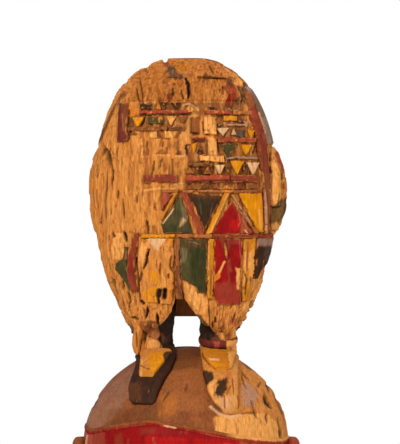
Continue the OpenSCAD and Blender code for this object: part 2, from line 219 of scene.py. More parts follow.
def skin_point(angle, z, lift):
    """Point on the costume at an angle in degrees: 0 is +X and -90 is the front."""
    c, s = np.cos(np.radians(angle)), np.sin(np.radians(angle))
    e = 2 / SECTION
    w, d = half_width(z), half_depth(z)
    nx, ny = signed_power(c, 2 - e) / w, signed_power(s, 2 - e) / d
    size = np.hypot(nx, ny) + 1e-12
    x = w * signed_power(c, e) + lift * nx / size
    y = COSTUME_Y + d * signed_power(s, e) + lift * ny / size
    return join(x, y, z)


def front_angle(x, z):
    """Angle of the front point at a given x."""
    a = np.degrees(np.arccos(np.minimum(np.abs(x) / half_width(z), 1) ** (SECTION / 2)))
    return np.where(x >= 0, -a, a - 180)


def front_point(x, z, lift):
    """Point on the costume's front at x and z."""
    return skin_point(front_angle(x, z), z, lift)


def head_radius(z):
    """Radius of the head at a height: a dome, and below it a barrel that narrows to the rim."""
    upper = np.sqrt(np.maximum(HEAD_R ** 2 - np.maximum(z - HEAD_Z, 0) ** 2, 0))
    lower = HEAD_R - (HEAD_R - RIM_R) * ((HEAD_Z - z) / (HEAD_Z - RIM_H)) ** 2
    return np.where(z > HEAD_Z, upper, lower)


def head_point(bearing, z, lift):
    """Point on the head at a bearing in degrees from the front, positive towards +X."""
    r = head_radius(z) + lift
    b = np.radians(bearing)
    return join(r * np.sin(b), -r * np.cos(b), z)


def crown_point(x, y, lift):
    """Point on the dome above x and y."""
    z = np.sqrt(np.maximum(HEAD_R ** 2 - x * x - y * y, 0))
    k = 1 + lift / HEAD_R
    return join(k * x, k * y, HEAD_Z + k * z)


# ---------- paint and relief on a grid of places ----------

class Skin:
    """Relief and paint over a grid of places that are seen from the front at x and z."""

    def __init__(self, points, colour, seed=0, x=None):
        self.points = points
        self.x = points[..., X] if x is None else x
        self.z = points[..., Z]
        self.lift = np.zeros(self.x.shape)
        self.paint = np.ones(self.x.shape + (3,)) * np.array(COLOURS[colour])
        self.rag = 1.5 * layered(points, (4.5, 4.5, 8), 3, seed + 5)
        self.seed = seed

    def near(self, points, margin):
        """Which places lie in the box round some points, with a margin."""
        p = np.array(points, float)
        low, high = p.min(0) - margin, p.max(0) + margin
        return (self.x > low[0]) & (self.x < high[0]) & (self.z > low[1]) & (self.z < high[1])

    def coat(self, amount, colour, places=...):
        """Covers places with a colour, by an amount from 0 to 1 at each of them."""
        share = np.clip(amount, 0, 1)[..., None]
        self.paint[places] = self.paint[places] * (1 - share) + np.array(COLOURS[colour]) * share

    def shade_hollows_light_edges(self, reach=3, strength=1.0):
        """Darkens the hollows and bares the edges, as dirt and handling do."""
        proud = self.lift - blurred(self.lift, reach)
        self.coat(ease(-proud, 0.06, 0.75) * 0.85 * strength, "deep")
        self.coat(ease(proud, 0.12, 0.8) * 0.5 * strength, "light")
        return self

    def grain(self, strength=1.0, size=(2.4, 2.4, 42)):
        """Long vertical streaks of lighter and darker wood, with shallow ridges."""
        fine = layered(self.points, size, 3, self.seed + 1)
        broad = layered(self.points, (13, 13, 60), 2, self.seed + 2)
        tone = 0.75 * fine + 0.55 * broad
        self.coat(np.clip(tone, 0, 1) * 0.62 * strength, "light")
        self.coat(np.clip(-tone - 0.12, 0, 1) * 0.78 * strength, "deep")
        self.lift += 0.75 * strength * fine
        return self

    def mottle(self, strength=0.25, size=(5, 5, 9)):
        """Uneven strength of the paint."""
        n = layered(self.points, size, 3, self.seed + 3)
        self.paint *= (1 + strength * n)[..., None]
        return self

    def chips(self, amount, size=(3, 3, 7), depth=0.5, colour="wood"):
        """Flakes of paint that are gone: amount runs from 0 to 1."""
        n = layered(self.points, size, 3, self.seed + 4)
        gone = ease(n + 1.7 * amount, 0.84, 1.0)
        self.coat(gone * 0.9, colour)
        self.lift -= depth * gone
        return self

    def cracks(self, marks, colour="black"):
        """Fissures: each mark is (width, depth, points)."""
        for width, depth, points in marks:
            m = self.near(points, width * 2 + 2)
            if m.any():
                x, z = self.x[m], self.z[m]
                ends = np.minimum(*(np.hypot(x - a, z - b) for a, b in (points[0], points[-1])))
                thin = 0.35 + 0.65 * ease(ends, 0, 0.3 * np.hypot(*np.subtract(points[0], points[-1])))
                d = (line_distance(x, z, points) + 0.4 * self.rag[m]) / thin
                cut = 1 - ease(d, 0.3 * width, 0.68 * width)
                self.lift[m] -= depth * cut
                # Painted shade: the colour darkens with the fissure's depth.
                self.coat(cut * min(1.0, 0.45 + 0.12 * depth), colour, m)
        return self

    def stains(self, marks):
        """Areas of paint: each mark is (colour, strength, lift, points)."""
        for colour, strength, lift, points in marks:
            m = self.near(points, 3)
            if m.any():
                d = inside_distance(self.x[m], self.z[m], points) + self.rag[m]
                soft = 0.6 + 6 * max(0.85 - strength, 0)
                full = ease(d, -soft, soft)
                self.lift[m] += lift * full
                patchy = strength * (1 + 0.5 * (1 - strength) * self.rag[m])
                self.coat(full * patchy, colour, m)
        return self

    def streaks(self, marks):
        """Narrow runs of paint or bare wood: each mark is (colour, width, lift, points)."""
        for colour, width, lift, points in marks:
            m = self.near(points, width + 2)
            if m.any():
                d = line_distance(self.x[m], self.z[m], points) + 0.4 * self.rag[m]
                full = 1 - ease(d, 0.25 * width, 0.7 * width)
                self.lift[m] += lift * full
                self.coat(full * 0.9, colour, m)
        return self


# ---------- meshes ----------

def cells(rows, cols, wrap=False):
    """Corners of each cell of a grid, facing out when rows run up and columns anticlockwise."""
    r, c = np.meshgrid(np.arange(rows - 1), np.arange(cols if wrap else cols - 1), indexing="ij")
    d = (c + 1) % cols
    low, high = r * cols, (r + 1) * cols
    return np.stack([low + c, low + d, high + d, high + c], -1).reshape(-1, 4)


class Solid:
    """Points, faces and paint that grow into one mesh."""

    def __init__(self):
        self.points, self.faces, self.paint, self.count = [], [], [], 0

    def add(self, points, faces, paint):
        """Adds points with their paint, and faces that number those points from 0."""
        self.points.append(points.reshape(-1, 3))
        self.paint.append(np.broadcast_to(paint, points.shape).reshape(-1, 3))
        self.faces += [[i + self.count for i in face] for face in faces]
        self.count += points.reshape(-1, 3).shape[0]
        return self

    def slab(self, outer, inner, paint, edge=0.45):
        """A plate between two grids of points."""
        rows, cols = outer.shape[:2]
        n = rows * cols
        skin = cells(rows, cols)
        index = np.arange(n).reshape(rows, cols)
        loop = np.concatenate([index[0, :-1], index[:-1, -1], index[-1, :0:-1], index[:0:-1, 0]])
        following = np.roll(loop, -1)
        walls = np.stack([following, loop, loop + n, following + n], -1)
        faces = np.concatenate([skin, skin[:, ::-1] + n, walls]).tolist()
        return self.add(np.stack([outer, inner]), faces, np.stack([paint, paint * edge]))

    def plate(self, surface, across, z, lift, paint, thin=1.0, depth=2.4):
        """A plate on a surface, let in to a depth, and at least as thick as thin says."""
        back = np.minimum(lift - thin, -depth)
        return self.slab(surface(across, z, lift), surface(across, z, back), paint)

    def shell(self, outer, inner, paint, capped=False):
        """A wall round the head between two closed grids; capped closes it over the crown."""
        rows, cols = outer.shape[:2]
        n = rows * cols
        skin = cells(rows, cols, True)
        j = np.arange(cols)
        k = (j + 1) % cols
        foot = np.stack([k, j, j + n, k + n], -1)
        last = (rows - 1) * cols
        head = np.stack([last + j, last + k, last + k + n, last + j + n], -1)
        faces = np.concatenate([skin, skin[:, ::-1] + n, foot]).tolist()
        if capped:
            faces += [(last + j).tolist(), (last + j + n)[::-1].tolist()]
        else:
            faces += head.tolist()
        return self.add(np.stack([outer, inner]), faces, np.stack([paint, paint * 0.6]))

    def loft(self, rings, paint):
        """A closed solid through rings of points, listed from the bottom up."""
        rows, cols = rings.shape[:2]
        j = np.arange(cols)
        faces = cells(rows, cols, True).tolist()
        faces += [j[::-1].tolist(), ((rows - 1) * cols + j).tolist()]
        return self.add(rings, faces, paint)

    def piece(self, node, slot):
        """Makes the mesh, hangs it on the root body and lets it stand for its CAD node."""
        mesh = bpy.data.meshes.new("carved_" + node)
        mesh.from_pydata((np.concatenate(self.points) * MM).tolist(), [], self.faces)
        mesh.validate()
        colour = mesh.attributes.new("paint", "FLOAT_COLOR", "POINT")
        rgb = np.clip(np.concatenate(self.paint), 0.002, 0.95)
        rgba = np.hstack([rgb, np.ones((len(rgb), 1))])
        colour.data.foreach_set("color", rgba.astype(np.float32).ravel())
        mesh.polygons.foreach_set("use_smooth", [True] * len(mesh.polygons))
        mesh.materials.append(worn_wood(slot))
        obj = bpy.data.objects.new("carved_" + node, mesh)
        bpy.context.scene.collection.objects.link(obj)
        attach(obj, "root")
        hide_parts(node)
        return obj


# ---------- materials ----------

# Roughness, strength of the fine grain, share of pores, height of the fine relief in millimetres.
FINISHES = {
    "bare_wood": (0.78, 0.34, 0.50, 0.55),
    "black_paint": (0.58, 0.30, 0.35, 0.30),
    "brown_paint": (0.66, 0.28, 0.40, 0.35),
    "dome_brown": (0.55, 0.30, 0.35, 0.30),
    "green_paint": (0.60, 0.38, 0.35, 0.30),
    "grey_paint": (0.74, 0.34, 0.40, 0.40),
    "red_paint": (0.46, 0.24, 0.30, 0.25),
    "dull_red_paint": (0.56, 0.28, 0.40, 0.35),
    "yellow_paint": (0.62, 0.22, 0.35, 0.30),
    "pale_paint": (0.70, 0.30, 0.40, 0.35),
}


PORE_COLOUR = (0.09, 0.03, 0.01, 1)
DULLNESS = 0.06


def worn_wood(slot):
    """Material of a slot: painted wood whose grain, pores and fine relief run along the trunk."""
    name = "finish_" + slot
    if name in bpy.data.materials:
        return bpy.data.materials[name]
    rough, grain, pores, relief = FINISHES[slot]
    mat = bpy.data.materials.new(name)
    mat.use_nodes = True
    tree = mat.node_tree
    tree.nodes.clear()
    link = tree.links.new

    def node(kind, values=(), **settings):
        made = tree.nodes.new(kind)
        for key, value in settings.items():
            setattr(made, key, value)
        for key, value in dict(values).items():
            made.inputs[key].default_value = value
        return made

    def texture(across, along, detail):
        scaled = node("ShaderNodeMapping", {"Scale": (across, across, along)})
        made = node("ShaderNodeTexNoise", {"Scale": 1.0, "Detail": detail, "Roughness": 0.62})
        link(place.outputs["Object"], scaled.inputs["Vector"])
        link(scaled.outputs["Vector"], made.inputs["Vector"])
        return made.outputs["Fac"]

    def remap(value, a, b, low, high):
        made = node("ShaderNodeMapRange", {"From Min": a, "From Max": b, "To Min": low, "To Max": high})
        link(value, made.inputs["Value"])
        return made.outputs["Result"]

    def coloured(sockets, name):
        return next(socket for socket in sockets if socket.name == name and socket.type == "RGBA")

    place = node("ShaderNodeTexCoord")
    fine = texture(620.0, 95.0, 4.0)
    spots = texture(420.0, 260.0, 3.0)
    paint = node("ShaderNodeAttribute", attribute_name="paint")
    tint = node("ShaderNodeVectorMath", operation="SCALE")
    pore = node("ShaderNodeMix", data_type="RGBA")
    bump = node("ShaderNodeBump", {"Strength": 0.85, "Distance": relief * MM})
    shader = node("ShaderNodeBsdfPrincipled", {"Specular IOR Level": DULLNESS})
    out = node("ShaderNodeOutputMaterial")
    coloured(pore.inputs, "B").default_value = PORE_COLOUR
    link(paint.outputs["Color"], tint.inputs[0])
    link(remap(fine, 0.3, 0.72, 1 - grain, 1 + grain), tint.inputs["Scale"])
    link(tint.outputs["Vector"], coloured(pore.inputs, "A"))
    link(remap(spots, 0.66, 0.80, 0.0, pores), pore.inputs["Factor"])
    link(coloured(pore.outputs, "Result"), shader.inputs["Base Color"])
    link(remap(spots, 0.3, 0.7, rough - 0.08, min(rough + 0.12, 0.95)), shader.inputs["Roughness"])
    link(fine, bump.inputs["Height"])
    link(bump.outputs["Normal"], shader.inputs["Normal"])
    link(shader.outputs["BSDF"], out.inputs["Surface"])
    return mat


# ---------- marks on the costume: x and z in millimetres, seen from the front ----------

# A crack is (width, depth, line), a stain is (colour, strength, lift, outline) and a streak is
# (colour, width, lift, line). The places of the back are x + BACK, so that marks of the front miss them.
BACK = 1000.0

CRACKS = [
    (3.8, 8, [(-80.5, 437), (-78, 431), (-77, 424), (-75.5, 415)]),
    (2.2, 5, [(-74.5, 419), (-72.5, 407), (-73.5, 400), (-72.5, 391)]),
    (2.2, 2.5, [(-81, 432), (-81.5, 425)]), (1.8, 2, [(-88, 417), (-88, 404)]),
    (2.0, 2.2, [(-78.5, 409), (-79, 392), (-80.5, 382), (-80, 362)]),
    (2.2, 2.6, [(-68, 392), (-68, 382)]), (2.0, 3, [(-63, 382), (-62.5, 375), (-61.5, 364)]),
    (2.2, 2.6, [(-48.5, 387), (-48.5, 379)]), (2.2, 4, [(-39, 362), (-37.8, 355), (-37.5, 349)]),
    (3.2, 5, [(-62, 350), (-60.5, 347), (-59, 341)]), (3.0, 2.5, [(-72, 348), (-70, 346)]),
    (2.0, 3, [(-49.5, 325), (-48, 314), (-46.5, 302), (-46, 292), (-44, 281)]),
    (2.6, 4, [(-35.5, 334), (-38, 327), (-39, 320), (-41.5, 314)]),
    (2.0, 2.6, [(-43.5, 311), (-45, 301)]), (1.8, 2.6, [(-25, 320), (-25.5, 309)]),
    (1.8, 2.6, [(-14, 327), (-15.5, 317), (-13, 311)]), (2.0, 2.5, [(-17, 309), (-17, 305)]),
    (5.0, 6, [(-26, 292), (-26.8, 288)]), (4.2, 6, [(-20.5, 293), (-21, 286)]),
    (2.4, 4, [(-27, 285), (-26, 281)]), (2.2, 3, [(-62.5, 304), (-62, 294)]),
    (3.6, 3, [(-71, 302), (-70.5, 297)]), (2.0, 3.2, [(-58, 290), (-56, 282), (-56.5, 272)]),
    (2.0, 2.5, [(-63, 282), (-61, 275)]), (3.0, 4, [(-44, 282), (-42, 280)]),
    (2.6, 4.5, [(-38, 277), (-38.5, 271), (-40, 263)]), (2.6, 5, [(-29, 270), (-28, 261), (-26, 255)]),
    (2.0, 3, [(-56, 265), (-51, 266), (-48, 264)]), (1.8, 2, [(22, 287), (23, 272), (24, 257)]),
    (2.4, 3, [(29.5, 266), (29.8, 262)]), (2.2, 3, [(26.5, 262), (27, 255)]),
    (3.2, 3, [(66, 281), (63.5, 274)]), (3.4, 4, [(58.5, 261), (56.5, 255)]),
    (1.8, 2.4, [(49, 271), (47, 261)]), (2.0, 2.5, [(54, 268), (52, 257)]),
    (2.0, 2.5, [(-45, 503), (-44, 492), (-42.5, 478)]), (2.0, 3, [(-50, 494), (-48, 484), (-46, 476)]),
    (3.4, 4.5, [(0, 501), (2.6, 494), (3, 487), (2.5, 482)]),
    (1.8, 3, [(-5, 493), (-4, 486), (-1.5, 479)]), (2.4, 2.5, [(-13, 492), (-12.5, 484)]),
    (1.6, 1.5, [(36.5, 494), (36.5, 486)]), (1.8, 2.6, [(-23.5, 422), (-26, 412)]),
    (1.6, 1.8, [(-17, 422), (-16.5, 402)]), (1.8, 2.2, [(-13, 422), (-12, 404), (-8, 398)]),
    (1.8, 2.4, [(-4.5, 422), (-4.8, 400)]), (2.0, 2.6, [(-31, 420), (-32, 411), (-34.5, 404)]),
    (1.8, 2.2, [(-7, 442), (-7.5, 426)]), (1.6, 1.8, [(-22, 440), (-23.5, 433)]),
    (1.8, 2.2, [(-38.5, 440), (-38.5, 431)]), (2.0, 2.6, [(21.5, 445), (21, 422)]),
    (1.8, 2.6, [(32, 442), (32.5, 424)]), (1.8, 2.2, [(27.5, 424), (28, 408)]),
    (1.8, 3, [(5.3, 463), (5.3, 448)]), (2.6, 3, [(6, 447), (13, 446.5)]),
    (3.0, 3, [(17, 458), (20, 450), (21, 446)]),
    # This crack is painted shadow under the lip of the hood's crown.
    (2.2, 2.6, [(12, 503.3), (24, 502.6), (34, 501.6), (42, 501)]),
    (1.8, 2, [(-40, 463), (-45, 454)]), (1.8, 2, [(24, 514), (27, 506)]),
    (1.8, 2, [(-32, 449), (-29, 442)]), (2.0, 2.4, [(-19, 434), (-18, 426)]),
]

STAINS = [
    ("soot", 0.97, 0.8, [(-20, 514), (-11, 514), (-7, 502), (-18, 502)]),
    ("plum", 0.95, 0.3, [(-8, 507), (0, 506), (0, 501), (-8, 501)]),
    ("yellow", 0.45, 0.0, [(-11, 519), (8, 517), (-1, 507), (-8, 508)]),
    ("orange", 0.7, 0.0, [(-19, 521), (-9, 521), (-12, 517), (-17, 516)]),
    ("dull", 0.8, -0.6, [(-24, 519), (-17, 519), (-18, 512), (-21, 513)]),
    ("light", 0.9, 0.3, [(38, 513), (49, 507), (59, 494), (50, 497), (42, 504)]),
    # Painted shade in the notch under the crown's lip and in the shadow below it.
    ("dark", 0.9, -1.5, [(16.5, 503), (20, 508.5), (24, 503)]),
    ("dark", 0.6, -1.0, [(17, 502), (24, 502), (20.5, 496)]),
    ("dull", 0.9, 0.0, [(-22, 487), (-12, 487), (-13, 480), (-22, 481)]),
    ("rust", 0.7, -0.3, [(-21, 501), (-17.5, 500), (-18, 486), (-21, 487)]),
    ("brick", 0.9, -0.4, [(36, 493), (43, 498), (50, 492), (50, 478), (45, 472), (38, 473), (41, 484)]),
    ("plum", 0.7, -0.3, [(38, 501), (46, 499), (49, 493), (40, 495)]),
    ("red", 0.95, 0.0, [(42, 487), (48, 487), (47, 474), (39, 474), (40, 481)]),
    ("pink", 0.9, 0.2, [(45, 491), (50, 491), (51, 483), (47, 482)]),
    ("black", 0.9, 0.8, [(51, 494), (56, 495), (61, 485), (60, 477), (50, 475), (49, 480), (54, 485)]),
    ("maroon", 0.92, 0.2,
     [(-66, 478), (-60, 477), (-58, 460), (-55, 445), (-67, 438), (-66, 450), (-66, 465)]),
    ("orange", 0.8, 0.0, [(-58, 473), (-49, 472), (-50, 464), (-58, 465)]),
    ("umber", 0.85, -0.6, [(-58, 463), (-52, 463), (-51, 449), (-46, 446), (-58, 444)]),
    ("brown", 0.8, -2.2, [(5.5, 463), (14, 463), (14, 446), (5.5, 446)]),
    ("umber", 0.8, -1.6, [(-30, 447), (-27, 450), (-22, 442), (-30, 443)]),
    ("umber", 0.8, -1.6, [(-11, 443), (-6, 450), (-4, 448), (-8, 442)]),
    ("rust", 0.85, -1.4, [(-30, 426), (-23, 432), (-18, 426)]),
    ("rust", 0.85, -1.4, [(-11, 426), (-7, 431), (-4, 426)]),
    ("rust", 0.8, -1.2, [(-42, 430), (-37, 431), (-37, 426), (-42, 426)]),
    ("light", 0.9, 1.0, [(22, 444), (31, 442), (31, 425), (22, 425)]),
    ("dark", 0.75, -0.5, [(2, 421), (22, 419), (22, 413), (3, 413)]),
    ("umber", 0.8, -0.4, [(0, 413), (28, 413), (28, 406), (0, 406)]),
    ("rust", 0.7, -0.3, [(13, 441), (20, 441), (20, 427), (13, 427)]),
    ("umber", 0.6, -0.5, [(30, 466), (58, 466), (74, 408), (74, 393), (0, 393), (2, 426), (30, 426)]),
    ("umber", 0.7, -0.5, [(-34, 478), (58, 478), (58, 465), (-46, 465), (-46, 474)]),
    ("umber", 0.5, -0.4, [(-50, 465), (4, 465), (4, 450), (-50, 452)]),
    ("light", 0.85, 0.8, [(-71, 349), (-61, 349), (-60, 330), (-63, 322), (-71, 324), (-74, 335)]),
    ("wood", 0.8, 0.8, [(-59, 350), (-52, 348), (-52, 338), (-56, 337), (-59, 341)]),
    ("moss", 0.75, 0.0, [(-58, 261), (-51, 260), (-50, 253), (-56, 253)]),
    ("brown", 0.8, -0.5, [(-46, 262), (-30, 262), (-28, 250), (-46, 250)]),
    ("moss", 0.85, -0.6, [(8, 268), (13, 270), (25, 254), (22, 249), (12, 256)]),
    ("umber", 0.75, -1.0, [(-40, 257), (-33, 263), (-27, 260), (-28, 251), (-42, 250)]),
    ("rust", 0.8, -0.6, [(32, 262), (38, 266), (40, 256), (33, 252)]),
    ("brick", 0.6, 0.0, [(43, 264), (51, 264), (51, 258), (43, 258)]),
    ("umber", 0.7, -1.2, [(64, 283), (68, 280), (66, 271), (63, 274)]),
    ("light", 0.8, 0.6,
     [(-4, 303), (2, 299), (10, 296), (11, 290), (24, 291), (19, 268), (9, 270), (-2, 290)]),
    ("light", 0.8, 0.4, [(60, 303), (75, 317), (76, 300), (70, 280), (60, 270), (52, 275)]),
    ("dust", 0.5, 0.0, [(68, 342), (90, 345), (88, 332), (70, 333)]),
    ("brown", 0.6, 0.0, [(78, 356), (84, 353), (90, 352), (90, 345), (72, 345)]),
]

STREAKS = [
    # The first three streaks are painted shade along the hood's outline: its top, its right shoulder and
    # its left flank.
    ("brown", 3.0, 0.0, [(-16, 523), (16, 523)]),
    ("umber", 3.0, 0.0, [(20, 521.5), (36, 517.5), (44, 512.5), (52, 505.5), (58, 498), (62, 491)]),
    ("umber", 3.2, 0.0, [(-61, 488), (-69, 474), (-77, 456), (-85, 438)]),
    ("cream", 1.4, 0.8, [(-3, 475), (2, 476.5), (8, 474), (12, 470)]),
    ("light", 1.6, 0.6, [(-41, 391), (-25, 393), (-10, 392)]),
    ("cream", 1.4, 0.6, [(-12, 397), (-3, 398)]),
    ("light", 1.6, 0.5, [(-44, 441), (-43, 430), (-44, 424)]),
    ("light", 1.6, 0.5, [(-29, 426), (-16, 425.5)]), ("cream", 1.4, 0.4, [(-10, 425), (-3, 424.5)]),
    ("orange", 2.5, 0.0, [(-91, 400), (-91, 392)]),
]

BACK_STAINS = [
    ("brown", 0.75, 0.0, [(-55, 496), (55, 496), (62, 470), (-62, 470)]),
    ("maroon", 0.8, 0.3, [(-64, 468), (64, 468), (66, 461), (-66, 461)]),
    ("green", 0.8, 0.0, [(-60, 458), (-5, 458), (-5, 420), (-66, 420)]),
    ("ochre", 0.8, 0.0, [(0, 458), (60, 458), (66, 420), (0, 420)]),
    ("dull", 0.8, 0.3, [(-70, 416), (70, 416), (70, 409), (-70, 409)]),
    ("black", 0.75, 0.0, [(-64, 405), (-30, 350), (4, 405)]),
    ("red", 0.7, 0.0, [(8, 405), (36, 350), (64, 405)]),
    ("brown", 0.8, 0.3, [(-74, 346), (74, 346), (74, 340), (-74, 340)]),
    ("green", 0.7, 0.0, [(-50, 336), (-12, 336), (-14, 306), (-46, 306)]),
    ("ochre", 0.7, 0.0, [(-8, 336), (30, 336), (28, 306), (-8, 306)]),
]

BACK_CRACKS = [
    (3.0, 5, [(-40, 470), (-38, 440), (-41, 400)]), (2.4, 4, [(20, 430), (22, 380), (19, 350)]),
    (2.4, 4, [(52, 400), (50, 360)]), (2.0, 3, [(-15, 360), (-14, 330)]),
    (2.6, 4, [(-60, 380), (-58, 340)]), (2.0, 3, [(0, 500), (2, 470)]),
    (2.0, 3, [(38, 480), (36, 455)]),
]


def behind(marks):
    """The same marks moved to the places that stand for the back."""
    return [mark[:-1] + ([(BACK + x, z) for x, z in mark[-1]],) for mark in marks]


def erode(skin, seed):
    """Flakes, pits and splits that years outdoors leave in bare wood."""
    flakes = layered(skin.points, (10, 10, 40), 3, seed + 30)
    skin.lift += 1.3 * ease(flakes, 0.02, 0.07) + 0.9 * ease(flakes, 0.3, 0.35) - 1.3
    skin.lift -= ease(-flakes, 0.2, 0.26)
    pits = layered(skin.points, (2.4, 2.4, 4.5), 2, seed + 31)
    pit = ease(pits, 0.5, 0.68) * ease(layered(skin.points, (16, 16, 24), 2, seed + 32), -0.1, 0.3)
    skin.lift -= 1.5 * pit
    # Painted shade in the pits.
    skin.coat(pit * 0.6, "deep")
    for size, depth, start in (((2.4, 2.4, 34), 1.8, 0.56), ((1.5, 1.5, 15), 1.0, 0.6)):
        check = ease(layered(skin.points, size, 2, seed + 33), start, start + 0.16)
        skin.lift -= depth * check
        # Painted shade in the splits.
        skin.coat(check * 0.7, "deep")
    return skin


def trunk_skin(points, seed=1):
    """Bare, eroded wood of the costume with what is left of its paint."""
    rear = points[..., Y] > COSTUME_Y + 4 + 16 * layered(points, (12, 12, 22), 3, 34)
    x = np.where(rear, BACK + points[..., X], points[..., X])
    skin = erode(Skin(points, "wood", seed, x).grain(), seed)
    skin.stains(behind(BACK_STAINS))
    # Painted shade in the hollows and painted highlight on the proud edges.
    skin.stains(STAINS).streaks(STREAKS).shade_hollows_light_edges(3, 0.85)
    return skin.cracks(behind(BACK_CRACKS)).cracks(CRACKS)


# ---------- plates of the painted front ----------

# How far the edges of a hand-cut plate stray from their outline.
WOBBLE = 0.45


def between(rows, at):
    """Second and third column of a table of rows, read at places along the first."""
    table = np.array(rows, float)
    return [np.interp(at, table[:, 0], table[:, k]) for k in (1, 2)]


def plate_grid(rows, step, seed):
    """Places over a field with rows of (z, left x, right x), and how far each is from the edge."""
    low, high = rows[0][0], rows[-1][0]
    z = np.linspace(low, high, max(int((high - low) / step) + 1, 4))
    left, right = between(rows, z)
    side = join(0.0, 0.0, z)
    left = left + WOBBLE * layered(side, (9, 9, 5), 2, seed + 40)
    right = np.maximum(right + WOBBLE * layered(side, (9, 9, 5), 2, seed + 41), left + 0.3)
    t = np.linspace(0, 1, max(int(np.max(right - left) / step) + 1, 4))
    x = left[:, None] + (right - left)[:, None] * t
    z = z[:, None]
    up = np.linspace(0, 1, len(z))[:, None]
    foot, head = (layered(join(x, 0.0, shift), (7, 7, 5), 2, seed + 42) for shift in (0, 50))
    edge = np.minimum(np.minimum(x - left[:, None], right[:, None] - x), np.minimum(z - z[0], z[-1] - z))
    return x, z + 1.3 * WOBBLE * (foot * (1 - up) + head * up), edge


def add_plate(solid, rows, colour, lift, seed, step, chips, stains=(), streaks=(), cracks=()):
    """Adds one painted field with a bevelled, rubbed and broken edge."""
    x, z, edge = plate_grid(rows, step, seed)
    skin = Skin(front_point(x, z, 0.0), colour, seed)
    if colour in ("wood", "light"):
        erode(skin.grain(), seed)
    skin.mottle(0.34, (4, 4, 8)).chips(chips, (2.6, 2.6, 7))
    # Painted shade in the hollows and painted highlight on the proud edges.
    skin.stains(stains).streaks(streaks).shade_hollows_light_edges(2, 0.8).cracks(cracks)
    rim = 1 - ease(edge, 0.2, 1.5)
    skin.coat(0.6 * rim * ease(skin.rag, -0.25, 0.5), "light")
    # Painted shade: a dark line along the plate's edge.
    skin.coat(0.75 * (1 - ease(edge, 0.0, 0.45)), "deep")
    broken = layered(skin.points, (5, 5, 5), 3, seed + 9) + 0.75 * (1 - ease(edge, 0, 2.4))
    gone = ease(broken, 0.78, 0.95)
    skin.coat(gone, "deep")
    grain = 0.16 * layered(skin.points, (2.0, 2.0, 14), 2, seed + 6)
    height = lift * (0.45 + 0.55 * ease(edge, 0.0, 1.1)) + grain + skin.lift - 5 * gone
    return solid.plate(front_point, x, z, height, skin.paint, 0.8, 2.6)


def tooth_rows(left, right, low, high, tip):
    """Rows of one carved tooth; tip is 'up', 'down' or 'flat'."""
    mid = (left + right) / 2
    if tip == "up":
        return [(low, left, right), (high, mid - 0.6, mid + 0.6)]
    if tip == "down":
        return [(low, mid - 0.6, mid + 0.6), (high, left, right)]
    return [(low, left, right), (high, left, right)]


# Each tooth: left x, right x, low z, high z, where its tip points, colour. All sizes are in millimetres.
TEETH = {
    "tooth_row_1": [
        (-45, -33, 471, 477, "flat", "dark"), (-31, -23.5, 470.5, 478, "up", "orange"),
        (-26, -17.5, 471, 478, "down", "black"), (-16, -5, 470.5, 477.5, "down", "dark"),
        (-3.5, 12, 468, 476, "up", "wood"), (17.5, 23, 469.5, 474.5, "up", "ochre"),
        (22.5, 30, 468, 473.5, "down", "black"), (30.5, 37, 465.5, 471.5, "flat", "brick"),
        (38, 47, 465.5, 470.5, "down", "dark"), (46.5, 55, 465.5, 471, "down", "black")],
    "tooth_row_2": [
        (-53, -40.5, 453.8, 463.5, "down", "yellow"), (-38, -22, 456.5, 464.2, "flat", "green"),
        (-20.5, -8.5, 455, 464.4, "down", "light"), (-7, 2.5, 457, 464.5, "down", "brown"),
        (31.5, 60, 454.2, 456.8, "flat", "grey"), (17.5, 30.5, 446, 464, "flat", "light"),
        (36.5, 50.5, 459.4, 464.8, "flat", "yellow"), (51, 55.5, 457.5, 462, "flat", "plum"),
        (55, 62.5, 453, 460, "down", "dust")],
    "tooth_row_3": [
        (-36, -28, 442, 449.5, "flat", "light"), (-21, -12, 442, 450, "flat", "light"),
        (29.5, 43, 444, 452.6, "down", "cream"), (44, 50, 445, 451.6, "up", "pale"),
        (49, 57, 443.8, 451.6, "flat", "soot"), (59.5, 68.5, 442, 451, "down", "yellow")],
    "tooth_row_4": [
        (-2.5, 4.5, 425, 437, "down", "black"), (4.5, 11.5, 427.5, 438, "down", "yellow"),
        (11, 19, 427, 436, "up", "dark"), (33, 50.5, 422.5, 437, "down", "green"),
        (51.5, 65.5, 425.5, 436.5, "down", "yellow"), (63.5, 68, 427, 436, "down", "black")],
    "tooth_row_5": [
        (13, 38, 418.5, 425.8, "flat", "light"), (39, 70, 421.4, 424.6, "flat", "grey"),
        (2, 26, 414.4, 417.6, "flat", "umber"), (-1, 9, 407, 414, "up", "rust"),
        (9.5, 17, 407, 414, "down", "dark"), (17.5, 26, 407, 414, "up", "brown"),
        (28, 38.5, 405.8, 416.5, "down", "cream"), (38, 44, 407, 415, "down", "black"),
        (43, 57.5, 406, 420.5, "down", "yellow"), (55.5, 60.5, 407, 417, "down", "black"),
        (58.5, 72.5, 406, 419, "down", "pale")],
    "tooth_row_6": [
        (1, 12, 392, 398.6, "up", "brown"), (13, 25, 392, 398.6, "up", "umber"),
        (26, 34, 392, 398.6, "up", "brown"), (34, 47, 392, 396.5, "up", "wood"),
        (47, 58, 392, 398.4, "up", "dull"), (59, 72, 392, 398, "flat", "brown")],
}

TOOTH_SLOTS = {
    "tooth_row_1": "black_paint",
    "tooth_row_2": "pale_paint",
    "tooth_row_3": "pale_paint",
    "tooth_row_4": "black_paint",
    "tooth_row_5": "yellow_paint",
    "tooth_row_6": "brown_paint",
}

